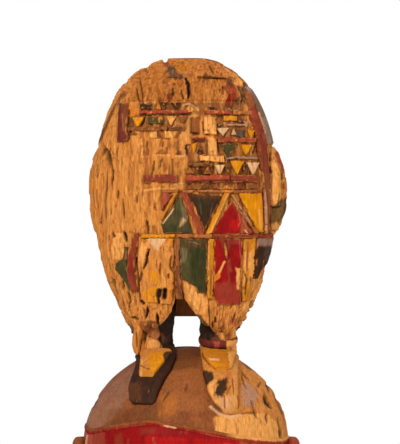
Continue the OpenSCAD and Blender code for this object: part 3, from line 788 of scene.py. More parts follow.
# Each lath: slot, low z, high z, then its parts as (left x, right x, colour).
LATHS = {
    "lath_1": ("red_paint", 465.2, 470.6, [(-46, 3, "brick"), (17, 46, "brick"), (46, 66, "rust")]),
    "lath_2": ("black_paint", 449.6, 453.6, [(-57, -18, "brown"), (-17, -1, "umber")]),
    "lath_3": ("dull_red_paint", 438.2, 443.2, [(5, 19.5, "dull"), (31.5, 69, "brick")]),
    "lath_5": ("red_paint", 398.6, 406.6, [(-41.5, -8, "dull"), (0, 44, "brick"), (44, 70.5, "dull")]),
    "lath_6": (
        "brown_paint", 388.4, 391.8,
        [(-21, 36, "rust"), (34, 46.5, "orange"), (46, 74, "brown")]),
    "waist_lath": (
        "brown_paint", 343.8, 348.4,
        [(-44, -10, "yellow"), (-10, 26, "rust"), (26, 85, "dull")]),
}

LATH_CRACKS = [
    (1.6, 1.6, [(-41, 400), (-30, 399), (-12, 395)]), (1.6, 1.5, [(0, 399.5), (40, 401), (70, 399)]),
    (2.2, 2.4, [(6.5, 398), (13, 392)]), (2.0, 2.4, [(30, 395.5), (34, 391.5)]),
    (2.4, 2.4, [(45, 398.5), (49, 393.5)]), (2.0, 2.0, [(-46, 466), (0, 466.3), (60, 464.6)]),
    (1.4, 1.2, [(5, 440), (19, 440)]),
]

# Each field: slot, colour, lift, chips, its rows of (z, left x, right x), and the marks on it.
FIELDS = {
    "triangle_pink": (
        "red_paint", "brick", 2.2, 0.1,
        [(372, -25, -23), (380, -23.5, -17.5), (389, -23, -11)],
        {"stains": [
             ("orange", 0.8, 0.0, [(-16, 389), (-9, 389), (-13, 383)]),
             ("pink", 0.7, 0.0, [(-24, 388), (-19, 388), (-22, 376)]),
             ("plum", 0.6, 0.0, [(-19, 388), (-14, 388), (-17, 380)])]}),
    "triangle_green": (
        "green_paint", "green", 2.2, 0.12,
        [(348.6, -22, 7.5), (358, -24.5, 4.6), (372, -14.5, 0.2), (385, -6.6, -5)],
        {"stains": [
             ("olive", 0.75, 0.0, [(-6, 382), (-1, 374), (2, 366), (0, 358), (-6, 356), (-4, 366)]),
             ("pale", 0.7, 0.0, [(-4, 364), (1, 362), (-3, 357), (-7, 355)]),
             ("moss", 0.6, 0.0, [(-14, 356), (-7, 360), (-9, 350), (-14, 349)])],
         "streaks": [("pale", 1.4, 0.2, [(-22, 359), (-16, 367), (-12, 373)])]}),
    "triangle_black": (
        "black_paint", "dark", 2.2, 0.06,
        [(353.5, 17.4, 19), (370, 10.5, 27.5), (387.4, 2.4, 37.2)],
        {"stains": [
             ("moss", 0.5, 0.0, [(8, 385), (26, 386), (18, 362)]),
             ("umber", 0.6, 0.0, [(3, 388), (36, 388), (34, 383), (6, 384)])],
         "streaks": [
             ("soot", 1.2, 0.0, [(13, 384), (15, 368)]), ("soot", 1.2, 0.0, [(26, 378), (24, 366)])]}),
    "triangle_red": (
        "red_paint", "red", 2.2, 0.12,
        [(348, 26.5, 66.5), (364, 34.5, 56.5), (380.5, 44.6, 46)],
        {"stains": [
             ("bright", 0.9, 0.0, [(44, 361), (52, 364), (53, 355), (48, 351), (44, 354)]),
             ("rust", 0.6, 0.0, [(50, 372), (54, 368), (64, 350), (54, 350), (54, 358)]),
             ("dull", 0.7, 0.0, [(44, 380), (47, 380), (55, 363), (51, 365)])],
         "streaks": [
             ("pink", 1.6, 0.3, [(51.5, 368), (53, 360), (51, 356)]),
             ("pale", 1.2, 0.2, [(57, 352), (60, 349)]), ("rust", 1.4, 0.2, [(55, 364), (60, 352)]),
             ("dull", 1.4, 0.2, [(58, 362), (64, 351)])]}),
    "triangle_yellow": (
        "yellow_paint", "yellow", 2.2, 0.05,
        [(349, 71, 76.5), (357, 67, 76.2), (372, 59, 75.6), (389.6, 50, 74.5)],
        {"stains": [("orange", 0.5, 0.0, [(69, 389), (75, 389), (76, 350), (72, 352)])],
         "streaks": [("light", 1.6, 0.2, [(71, 372), (72.5, 354)])]}),
    "slant_lath_yellow": (
        "yellow_paint", "ochre", 3.4, 0.12, [(361, -26, -23.5), (389, -12.5, -6.8)],
        {"streaks": [("umber", 1.2, -0.6, [(-22, 370), (-13, 386)])]}),
    "slant_lath_red": (
        "red_paint", "brick", 3.6, 0.08, [(347.4, 12, 19), (389, -5, 1.4)],
        {"streaks": [("dull", 1.6, 0.0, [(-1, 388), (16, 350)])]}),
    "slant_lath_gold": (
        "yellow_paint", "ochre", 3.4, 0.06, [(347.6, 18.6, 25.4), (389, 37.6, 43.4)],
        {"stains": [("yellow", 0.7, 0.0, [(26, 366), (32, 368), (27, 348), (19, 348)])],
         "streaks": [("light", 1.4, 0.2, [(24, 350), (34, 371), (41, 388)])]}),
    "slant_lath_brown": (
        "brown_paint", "rust", 3.0, 0.15, [(348.6, 67.2, 71.4), (387, 43.4, 47.6)],
        {"streaks": [
             ("dust", 1.6, 0.3, [(47, 384), (54, 372), (61, 360)]),
             ("umber", 1.2, -0.6, [(48.5, 387), (71.5, 350)])]}),
    "field_green_left": (
        "green_paint", "green", 2.2, 0.06,
        [(292, -54.5, -52.5), (300, -59, -52.5), (308, -64.5, -55), (314, -70, -57),
         (319, -69, -57.5), (324, -62, -58), (336, -60, -56)],
        {"stains": [("soot", 0.5, 0.0, [(-60, 336), (-55, 336), (-56, 322), (-59, 322)])]}),
    "strip_red_left": (
        "red_paint", "dull", 3.2, 0.06,
        [(292, -53, -46.5), (302, -56.5, -48.6), (316, -57, -49.5), (328, -56, -49.5),
         (338, -52.5, -46.6), (350, -51, -45.4)],
        {"stains": [("red", 0.4, 0.0, [(-55, 326), (-50, 326), (-49, 302), (-54, 302)])],
         "streaks": [
             ("dust", 1.4, 0.3, [(-56, 337), (-57, 318)]),
             ("maroon", 1.4, -0.4, [(-49.8, 334), (-50, 300)])]}),
    "field_yellow_left": (
        "yellow_paint", "wood", 2.4, 0.0,
        [(279, -42, -14), (292, -46, -12), (312, -47.6, -11.4), (326, -49, -11.4),
         (338, -45, -11.6), (344.6, -43, -11.6)],
        {"stains": [
             ("yellow", 0.75, 0.4,
              [(-46, 346), (-11, 346), (-12, 340), (-19, 341), (-30, 344), (-45, 340)]),
             ("cream", 0.76, 1.0, [(-38, 345), (-17, 345), (-26, 331), (-31, 334)]),
             ("light", 0.8, 0.9, [(-46, 340), (-37, 340), (-38, 326), (-43, 314), (-47, 324)]),
             ("yellow", 0.75, 0.2,
              [(-36, 312), (-26, 312), (-23, 296), (-34, 296), (-42, 290), (-42, 282),
               (-28, 280), (-26, 296), (-34, 302)]),
             ("orange", 0.6, 0.2, [(-18, 302), (-12, 302), (-11, 282), (-18, 284)])],
         "streaks": [
             ("light", 1.6, 0.7, [(-23, 309), (-20, 300), (-20, 296)]),
             ("orange", 1.6, -0.5, [(-18, 342), (-25, 334)])],
         "cracks": CRACKS}),
    "strip_brown_centre": (
        "brown_paint", "brown", 3.0, 0.08,
        [(284, -9.5, -3), (300, -10.5, -4), (322, -10.8, -5.4), (344, -11.2, -6)],
        {"streaks": [
             ("rust", 1.6, 0.3, [(-8, 342), (-8.6, 318)]),
             ("umber", 2.6, -0.6, [(-9.6, 308), (-6, 290), (0, 283)])]}),
    "field_green_centre": (
        "green_paint", "green", 2.2, 0.05,
        [(290, 12, 20.4), (296, 9.5, 20.4), (301, 1, 20.4), (305, -5.6, 20.6), (344, -6.4, 21.6)],
        {"stains": [
             ("moss", 0.8, 0.0, [(4, 340), (21, 340), (20, 292), (12, 292), (5, 306)]),
             ("olive", 0.7, 0.1, [(-6, 336), (2, 334), (0, 320), (-6, 320)]),
             ("umber", 0.4, 0.0, [(-6, 344), (20, 344), (20, 337), (-2, 334)])],
         "streaks": [
             ("olive", 1.2, 0.2, [(3, 341), (14, 338)]), ("umber", 1.2, 0.0, [(2, 339), (17, 334)])]}),
    "strip_yellow_centre": (
        "yellow_paint", "ochre", 3.0, 0.1,
        [(284, 20.4, 27.4), (310, 20.8, 27.4), (344.3, 21.8, 28.4)],
        {"stains": [("yellow", 0.6, 0.0, [(24, 344), (28, 344), (27, 318), (24, 318)])],
         "streaks": [
             ("light", 1.4, 0.3, [(22.4, 343), (21.6, 300)]),
             ("brown", 1.2, -0.6, [(25, 312), (24, 288)])]}),
    "field_red_centre": (
        "red_paint", "red", 2.3, 0.08,
        [(278, 31, 53), (288, 27.6, 53.6), (300, 27.4, 53.2), (344.3, 28.6, 55.6)],
        {"stains": [
             ("dull", 0.75, 0.0, [(29, 346), (56, 346), (55, 338), (44, 338), (40, 326), (34, 340)]),
             ("brick", 0.5, 0.0, [(28, 300), (52, 300), (52, 279), (31, 279)]),
             ("orange", 0.95, -0.4,
              [(27.6, 305), (27.6, 301), (34, 305), (35, 312), (37.5, 321), (34, 316)]),
             ("light", 0.9, -0.3, [(48, 316), (53, 314), (54, 294), (50, 294)]),
             ("pink", 0.7, 0.2, [(40.5, 324), (43.5, 324), (43.5, 312), (41, 314)])],
         "streaks": [
             ("light", 1.6, 0.2, [(33, 311), (37.5, 321)]),
             ("dull", 2.2, -0.3, [(41.5, 318), (42, 292)]), ("pink", 1.0, 0.2, [(52, 342), (53, 326)])],
         "cracks": [(2.6, 3, [(39, 342), (38.6, 332), (41, 323)]), (1.4, 1.5, [(52.6, 298), (53, 284)])]}),
    "strip_yellow_right": (
        "yellow_paint", "ochre", 3.0, 0.3,
        [(281, 55, 62), (305, 54.6, 66), (344.3, 56.4, 68.2)],
        {"stains": [("light", 0.8, 0.2, [(60, 330), (66, 334), (66, 300), (61, 300)])],
         "streaks": [
             ("light", 1.6, 0.4, [(57.5, 330), (56.5, 300)]),
             ("rust", 1.4, -0.7, [(60, 340), (59.5, 312)]),
             ("yellow", 1.8, 0.2, [(66, 340), (66.5, 312)]),
             ("light", 1.6, 0.3, [(62.5, 328), (63, 318)])],
         "cracks": [(1.8, 2, [(56, 312), (59, 303), (57, 288)]), (1.6, 2, [(62, 306), (64, 296)])]}),
    "field_black_right": (
        "black_paint", "dark", 2.0, 0.16,
        [(304, 67, 71), (312, 67.4, 74), (319, 68, 80), (330, 68.6, 83.5), (344.3, 69, 86.5)],
        {"stains": [
             ("dust", 0.65, 0.0, [(68, 346), (88, 346), (86, 336), (70, 337)]),
             ("soot", 0.6, 0.0, [(78, 336), (85, 336), (80, 318), (76, 320)])],
         "streaks": [("dust", 1.4, 0.2, [(82, 344), (84, 334)])]}),
    "border_left": (
        "dull_red_paint", "maroon", 3.2, 0.1,
        [(438.5, -67.5, -63), (441, -67.3, -57), (444, -67, -55.5), (449, -66.4, -57.8),
         (466, -66, -56.5), (478, -64, -57)],
        {"stains": [
             ("black", 0.6, 0.0, [(-66, 474), (-60, 474), (-60, 469), (-66, 468)]),
             ("brown", 0.6, 0.0, [(-62, 478), (-55, 478), (-55, 450), (-61, 450)])],
         "streaks": [("rust", 1.4, 0.3, [(-61, 466), (-60, 450)])]}),
    "border_right": (
        "dull_red_paint", "dull", 3.4, 0.1,
        [(347.6, 76.6, 80.4), (372, 76.4, 81.4), (392, 75.6, 82), (405, 74, 82),
         (417, 72.6, 80.6), (442, 69, 77.6), (455, 66, 74.6), (467, 62, 70), (480, 59, 66),
         (489, 57, 62)],
        {"stains": [
             ("brick", 0.9, 0.0, [(60, 471), (67, 470), (68, 462), (62, 463)]),
             ("brick", 0.9, 0.0, [(72, 449), (79, 449), (79, 441), (72, 442)]),
             ("brown", 0.8, 0.0, [(73, 408), (82, 408), (82, 346), (76, 346)]),
             ("rust", 0.6, 0.0, [(57, 490), (64, 487), (68, 476), (62, 472)])],
         "streaks": [
             ("dust", 1.6, 0.4, [(77, 392), (77.6, 350)]),
             ("light", 1.4, 0.3, [(81, 392), (81.6, 368), (80, 352)]),
             ("umber", 1.6, -0.6, [(74.6, 430), (76, 404), (78.6, 378)])]}),
}


# ---------- pieces of the costume ----------

def trunk_angles(front_count, back_count):
    """Angles round the costume with more of them at the front."""
    front = np.linspace(-182, 2, front_count, endpoint=False)
    return np.concatenate([front, np.linspace(2, 178, back_count, endpoint=False)])


# The hood's skyline as (x, z), with the notch at its broken left side.
SKYLINE = [(-66, 493), (-59, 503), (-57, 506), (-50, 509), (-45, 512.6), (-38, 513), (-33, 519.4),
           (-26, 522.4), (-23.6, 522.4), (-22.6, 518), (-18.8, 518.4), (-17.6, 522.6), (16, 522.8),
           (30, 524)]


def top_notch(points):
    """Lowers what stands above the broken skyline of the hood."""
    out = points.copy()
    out[..., Z] = np.minimum(points[..., Z], np.interp(points[..., X], *np.transpose(SKYLINE)))
    return out


def ragged_edge(skin):
    """Breaks the left shoulder into small steps."""
    left = ease(-skin.points[..., X], 30, 50) * ease(skin.points[..., Z], 478, 492)
    steps = np.round(1.4 * layered(skin.points, (7, 7, 5), 2, 71) + 0.4)
    skin.lift += 1.9 * left * steps


# Share of red, green and blue that old dirt takes from the hood's bare wood.
HOOD_SHADE = (0.22, 0.3, 0.36)


def build_core(settings):
    """The costume's eroded trunk."""
    z = np.linspace(UNDER_Z, 502.8, 196)[:, None]
    angle = trunk_angles(236, 96)[None, :]
    skin = trunk_skin(skin_point(angle, z, 0.0))
    ragged_edge(skin)
    flank = ease(-skin.points[..., X], 50, 80)
    lift = skin.lift * settings.relief + flank * np.interp(z, [300, 340, 380, 440], [1.5, 1.0, 1.5, 1.0])
    Solid().loft(top_notch(skin_point(angle, z, lift)), skin.paint).piece("costume_core", "bare_wood")


def build_hood_crown(settings):
    """The rounded top of the hood, broken at the left."""
    z = (502.4 + 21.5 * np.sin(np.radians(np.linspace(0, 90, 44))))[:, None]
    angle = trunk_angles(190, 80)[None, :]
    skin = trunk_skin(skin_point(angle, z, 0.0))
    ragged_edge(skin)
    x = skin.points[..., X]
    front = ease(-skin.points[..., Y] - 20, 0, 12)
    ledge = ease(x, 9, 13) * (1 - ease(x, 40, 46)) + 0.5 * ease(x, -21, -18) * (1 - ease(x, 1, 5))
    base = 1.6 * (1 - ease(np.abs(x), 42, 54)) + 2.2 * ledge * (1 - ease(z, 503, 511))
    lift = np.clip(skin.lift, -3.2, 2) * settings.relief * ease(524.6 - z, 0, 6) + base * front
    skin.paint *= 1 - np.array(HOOD_SHADE) * front[..., None]
    Solid().loft(top_notch(skin_point(angle, z, lift)), skin.paint).piece("hood_crown", "bare_wood")


def build_hood_panel(settings):
    """The bare recessed panel of the hood with its last spots of red."""
    x, z, edge = plate_grid([(478.8, -60, 57), (490, -55, 53), (503.6, -46, 45)], 0.8, 3)
    skin = trunk_skin(front_point(x, z, 0.0))
    edge = np.where(z > 499, np.minimum(x + 46, 45 - x), edge)
    lift = skin.lift * settings.relief + 1.6 * ease(edge, 0, 2.5)
    skin.paint *= 1 - np.array(HOOD_SHADE)
    Solid().plate(front_point, x, z, lift, skin.paint, 1.0, 2.6).piece("hood_panel", "bare_wood")


LOBES = {
    "skirt_lobe_left": [
        (252, -55, -44), (256, -56, -30), (262, -61, -22), (270, -67, -15.5), (282, -73.5, -11),
        (300.4, -78, -8)],
    "skirt_lobe_right": [
        (250, 40, 54), (254, 26, 56), (262, 15, 59.5), (270, 9, 62), (277, 4, 68),
        (284, -1, 71), (300.4, -4.6, 77)],
}


def build_lobes(settings):
    """The two bare lobes that the skirt ends in."""
    for seed, (node, table) in enumerate(LOBES.items(), 5):
        z = np.linspace(table[0][0], table[-1][0], 62)
        left, right = between(table, z)
        side = join(0.0, 0.0, z)
        left = left + 0.8 * layered(side, (9, 9, 4), 2, seed + 60)
        right = right + 0.8 * layered(side, (9, 9, 4), 2, seed + 61)
        limit = half_width(z) + 1.6
        left, right = np.maximum(left, -limit), np.minimum(right, limit)
        t = np.linspace(0, 1, 100)
        x = left[:, None] + (right - left)[:, None] * t
        inward = x - left[:, None] if node == "skirt_lobe_right" else right[:, None] - x
        hem = z[0]
        level = z[:, None]
        fringe = 5.5 * layered(join(x, 0.0, 0.0), (6, 6, 6), 2, seed + 62)
        z = level + fringe * (1 - ease(level, hem, hem + 14))
        skin = trunk_skin(front_point(x, z, 0.0))
        round_off = ease(inward, 0, 5)
        lift = skin.lift * settings.relief * round_off - 3.2 * (1 - round_off)
        lift += 1.5 * ease(-x, 50, 80) * ease(z, 284, 300)
        lift -= 3.6 * (1 - ease(level, hem, hem + 6))
        outer = front_point(x, z, lift)
        inner = outer.copy()
        inner[..., Y] = np.maximum(outer[..., Y] + 3, COSTUME_Y - 1)
        inner[..., X] = x + (np.mean(x, 1, keepdims=True) - x) * 0.12
        Solid().slab(outer, inner, skin.paint, 0.5).piece(node, "bare_wood")


def build_apron(settings):
    """The back apron with its straight hem, seen between the legs."""
    z = np.linspace(266, 300.2, 34)[:, None]
    angle = np.linspace(2, 178, 110)[None, :]
    skin = Skin(skin_point(angle, z, 0.0), "rust", 9).mottle(0.3).chips(0.2)
    skin.stains([("umber", 0.6, 0.0, [(-70, 270), (70, 270), (70, 264), (-70, 264)]),
                 ("rust", 0.5, 0.0, [(-4, 282), (12, 282), (14, 268), (-4, 268)])])
    skin.cracks([(1.8, 2, [(-30, 298), (-29, 272)]), (1.6, 2, [(18, 296), (19, 276)])])
    tuck = 5 * (1 - ease(np.minimum(angle, 180 - angle), 2, 34))
    outer = skin_point(angle, z, skin.lift - 0.2 - tuck)
    inner = outer.copy()
    inner[..., Y] = COSTUME_Y + 1.5
    Solid().slab(outer, inner, skin.paint, 0.8).piece("back_apron", "brown_paint")


# Height of the sleeves' lower edge, and from there to the upper one.
SLEEVE_Z = 347
SLEEVE_H = 88
SLEEVE_MARKS = [
    ("light", 0.9, 0.6, [(83, 420), (92, 425), (96, 405), (95, 385), (87, 377), (84, 395)]),
    ("yellow", 0.45, 0.2, [(88, 408), (91, 408), (91, 390), (88, 390)]),
    ("brick", 0.92, 0.0, [(89, 434), (94, 432), (100, 412), (96, 408), (91, 420)]),
    ("green", 0.76, -0.6,
     [(80, 376), (88, 376), (94, 383), (102, 384), (100, 365), (90, 357), (80, 356)]),
    ("soot", 0.6, 0.0, [(96, 383), (101, 383), (100, 366), (96, 364)]),
    ("light", 0.8, 0.5, [(80, 358), (90, 360), (92, 347), (80, 347)]),
    ("light", 0.7, 0.2, [(81, 435), (90, 437), (88, 422), (82, 424)]),
]
SLEEVE_CRACKS = [
    (4.4, 4, [(81.5, 416), (83.5, 410)]), (1.8, 2, [(88, 424), (94, 410)]),
    (2.0, 2.5, [(93, 397), (93.5, 391)]), (2.0, 2.5, [(98, 398), (98.5, 392)]),
    (1.8, 2, [(97, 410), (96, 402)]), (1.8, 2.5, [(80, 353), (92, 350)]),
    (2.0, 2.5, [(83, 377), (88, 374), (95, 376)]), (1.6, 1.6, [(85, 408), (84, 388)]),
    (1.6, 1.6, [(91, 388), (90, 378)]),
]


def build_sleeves(settings):
    """The swelling upper arms at both flanks."""
    for node, low, high, out in (("sleeve_left", 146, 209, 5.0), ("sleeve_right", -29, 34, 10.5)):
        u = np.linspace(0, 1, 92)[None, :]
        v = np.linspace(0, 1, 112)[:, None]
        swell = 0.2 + out * np.sin(np.pi * u) ** 0.6 * np.sin(np.pi * v) ** 0.55
        bow = np.abs(2 * u - 1) * (0.45 + 0.55 * np.sin(np.pi * v))
        middle = (low + high) / 2
        angle = middle + (np.where(u < 0.5, low, high) - middle) * bow
        z = SLEEVE_Z + SLEEVE_H * v
        right = node == "sleeve_right"
        if right:
            swell = swell * (0.82 + 0.18 * ease(z, 360, 372))
            swell = swell * (0.88 + 0.12 * ease(np.abs(z - 384), 2, 9))
        skin = trunk_skin(skin_point(angle, z, swell))
        if right:
            skin.stains(SLEEVE_MARKS).cracks(SLEEVE_CRACKS)
        edge = np.minimum(np.minimum(u, 1 - u) * 60, np.minimum(v, 1 - v) * SLEEVE_H)
        lift = swell + (skin.lift * settings.relief + 0.6) * ease(edge, 0, 5)
        Solid().plate(skin_point, angle, z, lift, skin.paint).piece(node, "bare_wood")


def build_side_panel(settings):
    """The grey weathered side face."""
    u = np.linspace(0, 1, 76)[None, :]
    low, high = 437, 494
    z = np.linspace(low, high, 70)[:, None]
    inner_x = np.interp(z, [437, 455, 467, 482, 494], [78, 75.5, 71, 66, 58])
    start = front_angle(inner_x, z)
    angle = start + (40 - start) * u
    skin = Skin(skin_point(angle, z, 0.0), "grey", 14)
    skin.mottle(0.35, (4, 4, 30)).chips(0.2, (4, 4, 12), 0.4, "dust")
    skin.stains([("umber", 0.45, 0.0, [(64, 488), (70, 484), (80, 466), (74, 464), (66, 478)]),
                 ("brown", 0.3, 0.0, [(66, 480), (70, 478), (74, 462), (70, 460)])])
    skin.streaks([("pale", 1.6, 0.3, [(71, 468), (74, 459), (77, 448)]),
                  ("dust", 1.8, 0.3, [(81, 444), (83, 434)])])
    edge = np.minimum(np.minimum(u, 1 - u) * 50, np.minimum(z - low, high - z))
    lift = (1.8 + skin.lift) * (0.3 + 0.7 * ease(edge, 0, 2))
    Solid().plate(skin_point, angle, z, lift, skin.paint).piece("side_panel_right", "grey_paint")


def build_back_panel(settings):
    """The worn back of the costume."""
    start, end = 44, 138
    low, high = 304, 498
    angle = np.linspace(start, end, 150)[None, :]
    z = np.linspace(low, high, 170)[:, None]
    points = skin_point(angle, z, 0.0)
    skin = Skin(points, "brown", 15, points[..., X] + BACK)
    skin.mottle(0.3, (6, 6, 30)).stains(behind(BACK_STAINS)).chips(0.42, (5, 5, 22), 1.2)
    skin.cracks(behind(BACK_CRACKS))
    edge = np.minimum(np.minimum(angle - start, end - angle), np.minimum(z - low, high - z))
    lift = (2.2 + skin.lift * settings.relief) * (0.3 + 0.7 * ease(edge, 0, 3))
    Solid().plate(skin_point, angle, z, lift, skin.paint).piece("back_panel", "brown_paint")


def build_teeth(settings):
    """Six rows of carved teeth, each tooth with its own paint."""
    for row, (node, teeth) in enumerate(TEETH.items()):
        solid = Solid()
        for k, (left, right, low, high, tip, colour) in enumerate(teeth):
            rows = tooth_rows(left, right, low, high, tip)
            add_plate(solid, rows, colour, 2.6, 100 + 20 * row + k, 0.7, 0.3 * settings.wear)
        solid.piece(node, TOOTH_SLOTS[node])


def build_laths(settings):
    """Level laths between the rows, broken where the wood has gone."""
    for row, (node, (slot, low, high, parts)) in enumerate(LATHS.items()):
        solid = Solid()
        for k, (left, right, colour) in enumerate(parts):
            rows = [(low, left, right), (high, left, right)]
            add_plate(solid, rows, colour, 3.4, 300 + 20 * row + k, 0.75, 0.34 * settings.wear,
                      cracks=LATH_CRACKS)
        solid.piece(node, slot)


def build_fields(settings):
    """The big triangles, their slanting laths, the skirt's hanging fields and the borders."""
    for k, (node, (slot, colour, lift, chips, rows, marks)) in enumerate(FIELDS.items()):
        solid = add_plate(Solid(), rows, colour, lift, 500 + 20 * k, 0.8, chips * settings.wear, **marks)
        solid.piece(node, slot)


# ---------- legs, feet and cuffs ----------

LEG_MARKS = [
    ("wood", 0.95, 0.8,
     [(-36, 246), (-28, 243), (-23, 237), (-25, 231), (-48, 229), (-48, 250), (-44, 252)]),
    ("rust", 0.9, 0.6,
     [(-43, 256), (-34, 262), (-27, 257), (-26, 248), (-30, 242), (-35, 247), (-40, 246)]),
    ("light", 0.8, 0.8, [(-37, 242), (-31, 244), (-25, 240), (-27, 231), (-33, 229), (-38, 234)]),
    ("umber", 0.9, -1.0, [(-25, 252), (-20, 246), (-22, 238), (-24, 244)]),
    ("wood", 0.95, 1.0, [(38, 262), (51, 262), (51, 225), (41, 225), (39, 236), (34, 247), (30, 256)]),
    ("light", 0.8, 0.7, [(29, 252), (34, 255), (38, 250), (37, 243), (32, 240)]),
    ("umber", 0.9, -1.2, [(25, 244), (31, 249), (36, 243), (33, 238), (26, 237)]),
    ("brown", 0.9, 0.2, [(36, 252), (41, 256), (44, 248), (43, 238), (39, 241)]),
    ("light", 0.7, 0.4, [(44, 256), (50, 256), (50, 228), (46, 232)]),
    ("maroon", 0.8, 0.0, [(14, 247), (20, 243), (19, 230), (14, 230)]),
]
LEG_CRACKS = [
    (3.4, 4, [(-40, 252), (-41, 240)]), (2.2, 3, [(-46, 246), (-44, 232)]),
    (2.0, 3, [(36, 239), (44, 239)]), (2.0, 2, [(33, 252), (38, 252)]),
    (1.6, 2, [(44, 236), (45, 228)]),
]


def build_legs(settings):
    """Two short legs, black behind and bare where the paint has gone, with a torn flap at the left."""
    for seed, (node, middle) in enumerate(LEG_X.items(), 21):
        theta = np.linspace(-270, 90, 130, endpoint=False)[None, :]
        z = np.linspace(212, 299.6, 112)[:, None]
        r = LEG_R + np.interp(z, [200, 240, 256, 275, 290, 310], [1, 0.2, 1, 3, 4.5, 4.5])
        c, s = np.cos(np.radians(theta)), np.sin(np.radians(theta))
        points = join(middle + r * c, LEG_Y + r * s, z)
        skin = Skin(points, "black", seed).mottle(0.4).chips(0.12, (3, 3, 7), 0.3, "brown")
        front = ease(-points[..., Y], 18, 24)
        unmarked = skin.paint.copy()
        skin.lift[:] = 0
        skin.stains(LEG_MARKS).cracks(LEG_CRACKS)
        paint = unmarked * (1 - front[..., None]) + skin.paint * front[..., None]
        r = r + 2.3 * layered(points, (6, 6, 11), 3, seed + 8) + skin.lift * front
        solid = Solid().loft(join(middle + r * c, LEG_Y + r * s, z), paint)
        if node == "leg_left":
            add_flap(solid)
        solid.piece(node, "black_paint")


def add_flap(solid):
    """A torn tongue of wood that hangs beside the left leg."""
    v = np.linspace(0, 1, 44)[:, None]
    u = np.linspace(0, 1, 22)[None, :]
    z = 228.4 + 33 * v
    left = np.interp(z, [228, 231, 238, 246, 254, 262], [-49, -51.5, -53.4, -53, -51, -54])
    right = np.interp(z, [228, 231, 238, 246, 262], [-47.6, -45.6, -45, -44, -40])
    x = left + (right - left) * u
    y = -38 + 4.5 * (2 * u - 1) ** 2 - 4 * v
    skin = Skin(join(x, y, z), "wood", 25).grain()
    skin.cracks([(1.6, 1.4, [(-49, 252), (-48, 236)])])
    outer = join(x, y - skin.lift, z)
    inner = join(x, np.maximum(y + 5, y - skin.lift + 2), z)
    solid.slab(outer, inner, skin.paint, 0.6)


def build_anklet(settings):
    """The red band round the right ankle."""
    theta = np.radians(np.linspace(-270, 90, 120, endpoint=False))[None, :]
    turn = np.radians(np.linspace(0, 360, 18, endpoint=False))[:, None]
    lean = 243.0 + 4.2 * np.sin(theta)
    r = 17.9 + 1.7 * np.cos(turn)
    z = lean + 3.6 * np.sin(turn)
    points = join(LEG_X["leg_right"] + r * np.cos(theta), LEG_Y + r * np.sin(theta), z)
    skin = Skin(points, "maroon", 26).mottle(0.3).chips(0.15, (3, 3, 3), 0.2, "dull")
    skin.stains([("pink", 0.8, 0.2, [(27, 242), (34, 243), (33, 235), (28, 235)]),
                 ("light", 0.9, 0.3, [(40, 243), (52, 243), (52, 230), (39, 230)])])
    rows, cols = points.shape[:2]
    faces = cells(rows + 1, cols, True) % (rows * cols)
    Solid().add(points, faces[:, ::-1].tolist(), skin.paint).piece("anklet_right", "dull_red_paint")


# Rows (y, middle x, half width) from the toe back to the heel, then low and high lift and roundness.
SHOES = {
    "shoe_left": (
        [(-80, -42.5, 9.5), (-78.6, -42, 12.5), (-72, -40, 14.5), (-56, -31.5, 17),
         (-38, -28.5, 19), (-15, -30, 19), (-4, -30, 16), (2, -30, 10)],
        0.2, 8.0),
    "shoe_right": (
        [(-85, 43, 7.5), (-83, 40.5, 11), (-76, 35.4, 14), (-60, 33.5, 16.4), (-38, 33, 18),
         (-15, 32, 19), (-4, 32, 16), (2, 32, 10)],
        0.2, 8.0),
    "cuff_left": (
        [(-66.5, -36, 5.5), (-65.6, -35.6, 6.6), (-57, -32, 9.4), (-49, -29, 12), (-38.5, -28, 15)],
        7.4, 12.4),
    "cuff_right": (
        [(-61, 34, 4), (-59.6, 33.6, 7.5), (-54, 32, 11), (-46, 30.6, 14), (-39, 30, 15.4)],
        7.4, 12.6),
}
SHOE_COLOURS = {
    "shoe_left": ("dark", "black_paint"),
    "shoe_right": ("wood", "black_paint"),
    "cuff_left": ("wood", "yellow_paint"),
    "cuff_right": ("ochre", "yellow_paint"),
}
FOOT_MARKS = {
    "shoe_left": [
        ("umber", 0.6, 0.0, [(-56, 202), (-44, 203), (-44, 186), (-56, 184)]),
        # Black band up the inner side of the left shoe; its upper end is also painted shade.
        ("black", 0.9, 0.0, [(-34, 203), (-12, 226), (-10, 232), (-18, 230), (-26, 214), (-36, 190)])],
    "shoe_right": [
        ("black", 0.95, -1.6, [(16, 215), (27, 214), (28, 207), (22, 200), (16, 200)]),
        ("black", 0.95, -2.6, [(27, 200), (33, 206), (41, 208), (42, 198), (36, 192), (29, 193)]),
        ("light", 0.8, 1.2, [(20, 200), (26, 204), (33, 203), (27, 193), (24, 186), (21, 190)]),
        ("light", 0.6, 0.5, [(44, 222), (51, 222), (52, 180), (46, 180)]),
        ("pale", 0.5, 0.2, [(30, 190), (46, 190), (46, 176), (34, 176)]),
        ("pink", 0.4, 0.2, [(41, 212), (46, 212), (45, 206), (41, 207)])],
    "cuff_left": [
        ("yellow", 0.85, 0.4, [(-36, 231), (-20, 232), (-20, 220), (-27, 214), (-36, 213)]),
        ("ochre", 0.85, 0.2, [(-41, 214), (-27, 214), (-29, 203), (-42, 202)]),
        ("black", 0.9, -0.6, [(-22, 232), (-12, 233), (-14, 220), (-21, 219)])],
    "cuff_right": [
        ("orange", 0.6, 0.0, [(20, 228), (42, 228), (42, 208), (22, 212)]),
        ("yellow", 0.7, 0.2, [(22, 222), (40, 222), (40, 212), (26, 214)]),
        ("light", 0.95, 0.6, [(42, 232), (52, 232), (52, 204), (43, 206)]),
        ("pink", 0.6, 0.3, [(40, 212), (45, 212), (44, 204), (40, 207)])],
}
